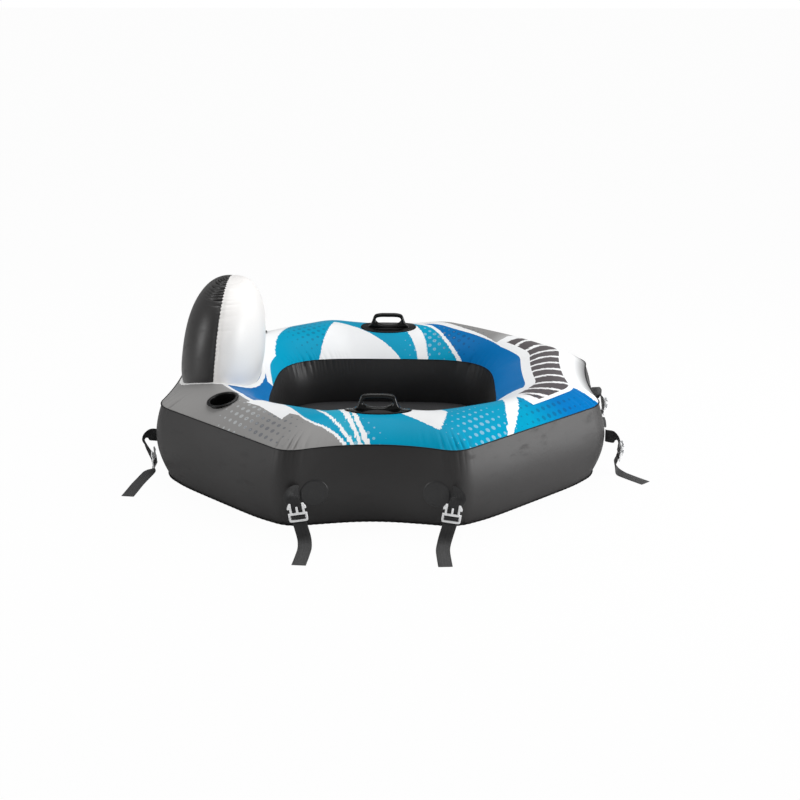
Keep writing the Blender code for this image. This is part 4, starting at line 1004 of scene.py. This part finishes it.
# %% [markdown]
# ## Carry handles
# Each handle is one glossy black moulding: an oval foot welded to the vinyl, ribbed at both ends, and an arch
# with a finger opening. The foot is a sheet of rings laid on the crest. The arch is a closed loop of rounded
# sections, thick where it springs from the foot and slim along the bar.

# %% The handle's foot
HANDLE_Y, FOOT_A, FOOT_B, FOOT_THICK = 0.432, 0.095, 0.041, 0.0026
FOOT_ROUND, FOOT_SKIN = 2 / 2.2, 0.0022
RIB_FROM, RIB_FIRST, RIB_PITCH, RIB_HIGH = 0.060, 0.0684, 0.0055, 0.0013


def foot_place(side):
    def place(u, v):
        angle = 2 * np.pi * u
        a = FOOT_A * v * squared(np.cos(angle), FOOT_ROUND)
        b = FOOT_B * v * squared(np.sin(angle), FOOT_ROUND)
        x, y = a + SLIDE_X, side * HANDLE_Y + b
        ends = np.clip((np.abs(a) - RIB_FROM) / 0.004, 0.0, 1.0) * np.clip((0.93 - v) / 0.05, 0.0, 1.0)
        ribs = RIB_HIGH * ends * (0.5 + 0.5 * np.cos((np.abs(a) - RIB_FIRST) * 2 * np.pi / RIB_PITCH)) ** 1.5
        edge = FOOT_THICK * np.clip((1 - v) / 0.03, 0.0, 1.0) ** 0.5
        dish = 0.0012 * fade(v - 0.95, 0.03)
        return np.column_stack([x, y, crest(x, y) + 0.0003 + edge + ribs + dish])
    return place


print("handle foot", 2 * FOOT_A, "by", 2 * FOOT_B, "m")

# %% The handle's arch
RISE, ARCH_HALF, DEEP_FOOT, DEEP_BAR = 0.047, 0.064, 0.013, 0.0075
ARCH_ROUND, FOOT_SINK = 2 / 2.7, -0.004


def arch_pairs():
    """Corners of the arch's outer and inner outline, which run side by side."""
    base, r = ARCH_HALF, RISE
    outer = [(0.0, FOOT_SINK), (0.50 * base, FOOT_SINK), (1.15 * base, FOOT_SINK / 2),
             (0.99 * base, 0.14 * r), (0.89 * base, 0.36 * r), (0.83 * base, 0.58 * r),
             (0.78 * base, 0.77 * r), (0.68 * base, 0.92 * r), (0.42 * base, r), (0.0, 1.01 * r)]
    inner = [(0.0, 0.15 * r), (0.34 * base, 0.19 * r), (0.54 * base, 0.30 * r), (0.65 * base, 0.44 * r),
             (0.67 * base, 0.53 * r), (0.65 * base, 0.61 * r), (0.59 * base, 0.68 * r),
             (0.47 * base, 0.715 * r), (0.26 * base, 0.73 * r), (0.0, 0.73 * r)]
    outer += [(-x, z) for x, z in outer[-2:0:-1]]
    inner += [(-x, z) for x, z in inner[-2:0:-1]]
    return np.array(outer), np.array(inner)


def smooth_loop(points, t):
    """Catmull-Rom points round a closed loop at t from 0 to 1."""
    n = len(points)
    s = t * n
    i = np.floor(s).astype(int)
    f = (s - i)[:, None]
    p0, p1, p2, p3 = (points[(i + k) % n] for k in (-1, 0, 1, 2))
    return 0.5 * (2 * p1 + (p2 - p0) * f + (2 * p0 - 5 * p1 + 4 * p2 - p3) * f ** 2
                  + (3 * p1 - p0 - 3 * p2 + p3) * f ** 3)


def arch_place(side):
    outer, inner = arch_pairs()
    ground = float(crest(SLIDE_X, side * HANDLE_Y))

    def place(u, v):
        o, i = smooth_loop(outer, u % 1.0), smooth_loop(inner, u % 1.0)
        mid, half = (o + i) / 2, (o - i) / 2
        lift = np.clip(mid[:, 1] / RISE, 0.0, 1.0)
        deep = DEEP_FOOT + (DEEP_BAR - DEEP_FOOT) * lift ** 0.6
        turn = 2 * np.pi * v
        flat = mid + half * squared(np.cos(turn), ARCH_ROUND)[:, None]
        y = side * HANDLE_Y + deep * squared(np.sin(turn), ARCH_ROUND)
        return np.column_stack([flat[:, 0] + SLIDE_X, y, ground + flat[:, 1]])
    return place


handle_skin = moulding("handle_moulding", rgb(6, 6, 6), 0.16, gloss=0.30)
for tag, side in (("near", -1), ("far", 1)):
    foot = sheet_of("foot_" + tag, 160, 56, foot_place(side), FOOT_SKIN, upward, merge=2e-5)
    arch = sheet_of("handle_arch_" + tag, 108, 28, arch_place(side), merge=2e-5)
    alone()
    foot.select_set(True)
    arch.select_set(True)
    bpy.context.view_layer.objects.active = foot
    bpy.ops.object.join()
    named("carry_handle_" + tag)
    ready(foot, "hull", "handle_moulding", handle_skin.material, "handle_" + tag)

# %% [markdown]
# ## Weld patches
# A round patch spreads the pull of each strap over the wall. It is a disc with a raised ring near its edge
# and a fainter one inside that, and it is pressed on to the wall point by point.

# %% Patches
PATCH_RADIUS, PATCH_THICK, PATCH_SKIN = 0.040, 0.0012, 0.0009
# Two raised rings, each with its height, and its place and width as shares of the radius
OUTER_RING, INNER_RING = (0.00045, 0.86, 0.035), (0.0003, 0.42, 0.03)
PATCH_FRAMES = {}


def patch_piece(tag):
    low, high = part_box("patch_" + tag)
    centre = (Vector(low) + Vector(high)) / 2
    aim = Vector((SLIDE_X - centre.x, -centre.y, 0.0)).normalized()
    hit, _, _, _ = WALL_TREE.ray_cast(centre - aim * 0.3, aim)
    side_way = Vector((0, 0, 1)).cross(aim).normalized()
    spots = []
    for a, b in ((-0.03, 0), (0.03, 0), (0, -0.03), (0, 0.03)):
        spots.append(WALL_TREE.ray_cast(hit - aim * 0.3 + side_way * a + Vector((0, 0, b)), aim)[0])
    across, up = (spots[1] - spots[0]).normalized(), (spots[3] - spots[2]).normalized()
    normal = across.cross(up).normalized()
    if normal.dot(aim) > 0:
        normal = -normal
    up = (up - normal * up.dot(normal)).normalized()
    across = up.cross(normal)

    def place(u, v):
        out = []
        for p, q in zip(u, v):
            ring = sum(high * fade(q - at, wide) for high, at, wide in (OUTER_RING, INNER_RING))
            edge = PATCH_THICK * min(1.0, (1 - q) / 0.03) ** 0.5
            way = across * math.cos(2 * math.pi * p) + up * math.sin(2 * math.pi * p)
            found = WALL_TREE.ray_cast(hit + way * PATCH_RADIUS * q + normal * 0.05, -normal)[0]
            out.append(tuple(found + normal * float(0.0002 + edge + ring)))
        return np.array(out)

    PATCH_FRAMES[tag] = (normal, up, across)
    obj = sheet_of("weld_patch_" + tag, 56, 26, place, PATCH_SKIN, lambda c: normal, merge=2e-5)
    return ready(obj, "hull", "patch_vinyl", patch_skin.material, "patch_" + tag)


TAGS = ["near_head", "near_foot", "far_head", "far_foot", "head_near", "head_far", "foot_near", "foot_far"]
for tag in TAGS:
    patch_piece(tag)

# %% [markdown]
# ## Webbing straps
# Each strap is one flat length of black webbing. It leaves its patch, curls through the ladder bars of a
# buckle half and falls to the ground. Its path is written along the edge, outward and up from the patch, and
# a smooth curve runs through the points. The strip has soft selvedges, and its UV map is in metres so that
# the weave stays even.

# %% Paths of the webbing
CURL = [(0.0, 0.1, 1.0), (0.55, -0.2, 0.75), (0.95, -0.15, 0.15)]
PATHS = {
    "side": {"curl": [(0.052, 0.028, 0.124), (0.059, 0.040, 0.117), (0.053, 0.046, 0.101)],
             "buckle": (0.038, 0.054, 0.061), "up": (0.14, 0.10, 1.0), "face": (0.0, 1.0, 0.10),
             "ends": (1.0, 0.0, 0.0),
             "tail": [(0.030, 0.057, 0.030), (0.023, 0.066, 0.009), (0.019, 0.086, 0.0014),
                      (0.016, 0.125, 0.0008), (0.018, 0.170, 0.0008), (0.022, 0.225, 0.0008)]},
    "head": {"curl": [(0.052, 0.025, 0.118), (0.059, 0.042, 0.112), (0.055, 0.046, 0.091)],
             "buckle": (0.047, 0.022, 0.029), "up": (0.04, 0.06, 1.0), "face": (0.0, -1.0, 0.0),
             "ends": (-0.14, 1.0, 0.0),
             "tail": [(0.050, 0.030, 0.005), (0.068, 0.037, 0.0012), (0.115, 0.045, 0.0008),
                      (0.160, 0.052, 0.0008), (0.208, 0.057, 0.0008), (0.252, 0.062, 0.0008)]},
    "foot": {"curl": [(0.052, 0.024, 0.124), (0.059, 0.038, 0.118), (0.055, 0.044, 0.100)],
             "buckle": (0.046, 0.048, 0.066), "up": (0.05, 0.10, 1.0), "face": (0.0, 1.0, -0.05),
             "ends": (0.7, -0.7, 0.0),
             "tail": [(0.042, 0.037, 0.033), (0.038, 0.045, 0.011), (0.045, 0.060, 0.0014),
                      (0.068, 0.080, 0.0008), (0.090, 0.100, 0.0008), (0.113, 0.122, 0.0008)]},
}
HANGING = {"head_far": {"curl": [(0.052, 0.019, 0.112), (0.0585, 0.029, 0.099), (0.0555, 0.034, 0.080)]},
           "foot_far": {"ends": (0.05, -1.0, 0.0),
                        "tail": [(0.044, 0.040, 0.033), (0.050, 0.042, 0.011), (0.066, 0.045, 0.0014),
                                 (0.096, 0.048, 0.0008), (0.126, 0.050, 0.0008), (0.156, 0.050, 0.0008)]}}
THREAD = [(-0.0044, 0.0150), (-0.0044, 0.0085), (-0.0026, 0.0050), (0.0002, 0.0036), (0.0027, 0.0027),
          (0.0032, 0.0), (0.0027, -0.0027), (0.0002, -0.0036), (-0.0026, -0.0050), (-0.0044, -0.0085),
          (-0.0046, -0.0140)]
EDGES = {"near": (Vector((0, -1, 0)), Vector((1, 0, 0))), "far": (Vector((0, 1, 0)), Vector((1, 0, 0))),
         "head": (Vector((-1, 0, 0)), Vector((0, 1, 0))), "foot": (Vector((1, 0, 0)), Vector((0, 1, 0)))}
PIVOT = {j["name"]: Vector(j["pos_m"]) for j in frame["joints"]}
BODY = {n: body for body, names in frame["record"]["behaviour"]["bodies"].items() for n in names}
WEB_HALF, WEB_HALF_THICK, CURVE_STEPS, WEB_AROUND = 0.019, 0.0008, 6, 24
# Cords round the strip, and picks to a metre
WEB_CORDS, WEB_PICKS = 26, 420
print("straps", len(TAGS), "of", round(2000 * WEB_HALF), "mm webbing")


# %% The middle line of a strap
def smooth_line(points):
    """Catmull-Rom points through an open row of points."""
    p = np.array([tuple(q) for q in points], float)
    p = np.vstack([2 * p[0] - p[1], p, 2 * p[-1] - p[-2]])
    f = np.arange(CURVE_STEPS)[:, None] / CURVE_STEPS
    out = []
    for a, b, c, d in zip(p[:-3], p[1:-2], p[2:-1], p[3:]):
        out.append(0.5 * (2 * b + (c - a) * f + (2 * a - 5 * b + 4 * c - d) * f ** 2
                          + (3 * b - a - 3 * c + d) * f ** 3))
    return np.vstack(out + [p[-2:-1]])


def strap_path(tag):
    """Middle line of a strap and the direction of its width at each point."""
    edge, end = tag.split("_")
    outward, along = EDGES[edge]
    along = along * (-1 if end in ("head", "near") else 1)
    data = {**PATHS["side" if edge in ("near", "far") else edge], **HANGING.get(tag, {})}
    turn = Matrix((along, outward, Vector((0, 0, 1)))).transposed()
    root, bar = PIVOT["swing_" + tag], PIVOT["tilt_" + tag]
    base = bar - turn @ Vector(data["buckle"])
    normal, up, across = PATCH_FRAMES[tag]
    tangent = across if across.dot(along) > 0 else -across
    up_axis = (turn @ Vector(data["up"])).normalized()
    face = turn @ Vector(data["face"])
    face = (face - up_axis * face.dot(up_axis)).normalized()
    wide = up_axis.cross(face).normalized()
    wide = wide if wide.dot(along) > 0 else -wide
    line = [root, root + tangent * 0.006 + normal * 0.0025] + [base + turn @ Vector(q) for q in data["curl"]]
    spread = [Vector((0, 0, 1))] * 2 + [turn @ Vector(w) for w in CURL]
    for out, lift in THREAD:
        line.append(bar + face * out + up_axis * lift)
        spread.append(wide)
    ends = (turn @ Vector(data["ends"])).normalized()
    ends = ends if ends.dot(wide) > 0 else -ends
    for i, q in enumerate(data["tail"]):
        line.append(base + turn @ Vector(q))
        spread.append(wide.lerp(ends, min(1.0, i / 2)).normalized())
    return line, spread


for tag in TAGS:
    path = smooth_line(strap_path(tag)[0])
    print("strap", tag, round(float(np.linalg.norm(np.diff(path, axis=0), axis=1).sum()), 3), "m long")


# %% The strip of webbing
def strap_piece(tag):
    line, spread = strap_path(tag)
    middle, wide = smooth_line(line), smooth_line(spread)
    middle[:, 2] = np.maximum(middle[:, 2], WEB_HALF_THICK)
    ahead = np.gradient(middle, axis=0)
    ahead /= np.linalg.norm(ahead, axis=1)[:, None]
    wide -= ahead * np.sum(wide * ahead, axis=1)[:, None]
    wide /= np.linalg.norm(wide, axis=1)[:, None]
    flat = np.cross(ahead, wide)
    # The cut ends are closed by rings of no size
    stations = [0] + list(range(len(middle))) + [len(middle) - 1]
    size = np.array([0.0] + [1.0] * len(middle) + [0.0])
    run = np.concatenate([[0.0], np.cumsum(np.linalg.norm(np.diff(middle, axis=0), axis=1))])[stations]
    count = len(stations) - 1

    def place(u, v):
        at = np.rint(u * count).astype(int)
        row, turn = np.array(stations)[at], 2 * np.pi * v
        a = squared(np.cos(turn), 0.55) * WEB_HALF * size[at]
        b = squared(np.sin(turn), 0.45) * WEB_HALF_THICK * size[at]
        points = middle[row] + wide[row] * a[:, None] + flat[row] * b[:, None]
        points[:, 2] = np.maximum(points[:, 2], 0.00005 + 0.0004 * (b > 0))
        return points

    obj = sheet_of("webbing_" + tag, count, WEB_AROUND, place, merge=2e-6)
    layer = obj.data.uv_layers[0].data
    flat_uv = np.empty(2 * len(layer))
    layer.foreach_get("uv", flat_uv)
    flat_uv[0::2] = np.interp(flat_uv[0::2] * count, np.arange(count + 1), run)
    layer.foreach_set("uv", flat_uv)
    return obj


def webbing():
    """Cords side by side round the strip, crossed by picks that step by half from cord to cord."""
    f = Finish("black_webbing")
    along, round_, _ = f.split(f.mapped("UV"))
    cord = f.math("SINE", f.math("MULTIPLY", round_, 2 * math.pi * WEB_CORDS))
    pick = f.math("SINE", f.math("ADD", f.math("MULTIPLY", along, 2 * math.pi * WEB_PICKS),
                                 f.math("MULTIPLY", f.math("GREATER_THAN", cord, 0.0), math.pi)))
    rise = f.math("ADD", f.math("MULTIPLY", cord, 0.6), f.math("MULTIPLY", pick, 0.5))
    fuzz = f.noise(f.mapped(), 420.0, 2.0)
    worn = f.noise(f.mapped(), 34.0, 3.0)
    # Hollows of the weave darker and raised cords lighter: painted shade
    colour = f.mix(f.scaled(rise, -1.0, 1.0), rgb(7, 7, 8), rgb(27, 27, 28))
    colour = f.mix(f.scaled(worn, 0.45, 0.75, 0.0, 0.22), colour, rgb(44, 44, 45))
    f.set("Base Color", f.mix(f.scaled(fuzz, 0.4, 0.8, 0.0, 0.30), colour, rgb(47, 47, 49)))
    f.set("Roughness", 0.66)
    f.set("Sheen Weight", 0.15)
    f.set("Normal", f.bump(rise, 0.55, 0.0003))
    return f


webbing_skin = webbing()
for tag in TAGS:
    ready(strap_piece(tag), BODY["strap_" + tag], "black_webbing", webbing_skin.material, "strap_" + tag)

# %% [markdown]
# ## Buckles and valves
# The buckle halves and valve caps are small mouldings. Each starts as a copy of its solid. The copy is
# merged, its flat faces are joined, and a fine bevel rounds every edge, as the radius of a real mould does.

# %% Softened mouldings
BUCKLE_EDGE, VALVE_EDGE, MOULD_SMOOTH = 0.00035, 0.00030, math.radians(32)


def softened(name, slot, skin, width):
    source = frame["nodes"][name]
    take(source)
    bpy.ops.object.duplicate()
    obj = named("moulded_" + name)
    bpy.ops.object.parent_clear(type="CLEAR_KEEP_TRANSFORM")
    for key in list(obj.keys()):
        del obj[key]
    close_up(obj, 1e-5)
    bpy.ops.object.mode_set(mode="EDIT")
    bpy.ops.mesh.select_all(action="SELECT")
    bpy.ops.mesh.dissolve_limited(angle_limit=math.radians(1.0))
    bpy.ops.object.mode_set(mode="OBJECT")
    round_edges(obj, width)
    take(obj)
    bpy.ops.object.shade_smooth_by_angle(angle=MOULD_SMOOTH)
    return ready(obj, BODY[name], slot, skin.material, name)


buckle_skin = moulding("buckle_plastic", rgb(246, 247, 248), 0.30, grain=0.2)
valve_skin = vinyl("valve_vinyl", rgb(206, 207, 208), 0.40, vary=0.03)
cap_skin = moulding("valve_cap", rgb(212, 213, 214), 0.36, grain=0.2)
for tag in TAGS:
    softened("buckle_" + tag, "buckle_plastic", buckle_skin, BUCKLE_EDGE)
for tag in ("main", "headrest"):
    softened("valve_" + tag, "valve_vinyl", valve_skin, VALVE_EDGE)
    softened("valve_cap_" + tag, "valve_cap", cap_skin, VALVE_EDGE)

# %% [markdown]
# ## Floor, backdrop and light
# The object stands on a plain pale floor that runs to the horizon. Camera rays see the floor and the world as
# white, and the lamps stay at a plain level, so that a colour renders about as it is written.

# %% Floor
FLOOR_SIZE, FLOOR_Z, FLOOR_PAINT, FLOOR_SEEN = 60.0, -0.0006, 0.80, 0.97
alone()
bpy.ops.mesh.primitive_plane_add(size=FLOOR_SIZE, location=(0, 0, FLOOR_Z))
ground = named("stage_floor")
pale = Finish("pale_floor")
pale.set("Base Color", (FLOOR_PAINT, FLOOR_PAINT, FLOOR_PAINT, 1.0))
pale.set("Roughness", 0.9)
glow = pale.tree.nodes.new("ShaderNodeEmission")
eye = pale.tree.nodes.new("ShaderNodeLightPath")
shown = pale.tree.nodes.new("ShaderNodeMixShader")
pale.wire(shown.inputs[0], pale.math("MULTIPLY", eye.outputs["Is Camera Ray"], FLOOR_SEEN))
pale.wire(shown.inputs[1], pale.shader.outputs[0])
pale.wire(shown.inputs[2], glow.outputs[0])
pale.wire(pale.tree.nodes["Material Output"].inputs["Surface"], shown.outputs[0])
ground.data.materials.append(pale.material)
print("floor", FLOOR_SIZE, "m wide")

# %% World
SKY_LIGHT, SKY_SEEN = 0.34, 1.0
world = bpy.data.worlds.new("studio")
world.use_nodes = True
bpy.context.scene.world = world
tree = world.node_tree
sky = tree.nodes["Background"]
sky.inputs["Color"].default_value = (1, 1, 1, 1)
eye = tree.nodes.new("ShaderNodeLightPath")
either = tree.nodes.new("ShaderNodeMath")
either.operation = "MAXIMUM"
level = tree.nodes.new("ShaderNodeMapRange")
level.inputs["To Min"].default_value = SKY_LIGHT
level.inputs["To Max"].default_value = SKY_SEEN
tree.links.new(eye.outputs["Is Camera Ray"], either.inputs[0])
tree.links.new(eye.outputs["Is Transmission Ray"], either.inputs[1])
tree.links.new(either.outputs[0], level.inputs[0])
tree.links.new(level.outputs[0], sky.inputs["Strength"])
print("sky gives", SKY_LIGHT, "and shows as", SKY_SEEN)


# %% Lamps
def lamp(name, place, aim, size, power):
    data = bpy.data.lights.new(name, "AREA")
    data.shape = "RECTANGLE"
    data.size, data.size_y = size
    data.energy = power
    obj = bpy.data.objects.new(name, data)
    bpy.context.collection.objects.link(obj)
    obj.location = place
    obj.rotation_euler = (Vector(aim) - Vector(place)).to_track_quat("-Z", "Y").to_euler()
    print(name, power, "W")


lamp("overhead", (0.2, 0.5, 3.0), (0, 0, 0.2), (2.6, 1.8), 50)
lamp("left_soft", (-2.9, -1.3, 1.2), (-0.5, -0.3, 0.2), (0.9, 1.6), 30)
lamp("right_soft", (3.0, -0.8, 0.7), (0.3, -0.1, 0.2), (1.4, 1.2), 82)
bpy.context.scene.view_settings.view_transform = "Standard"
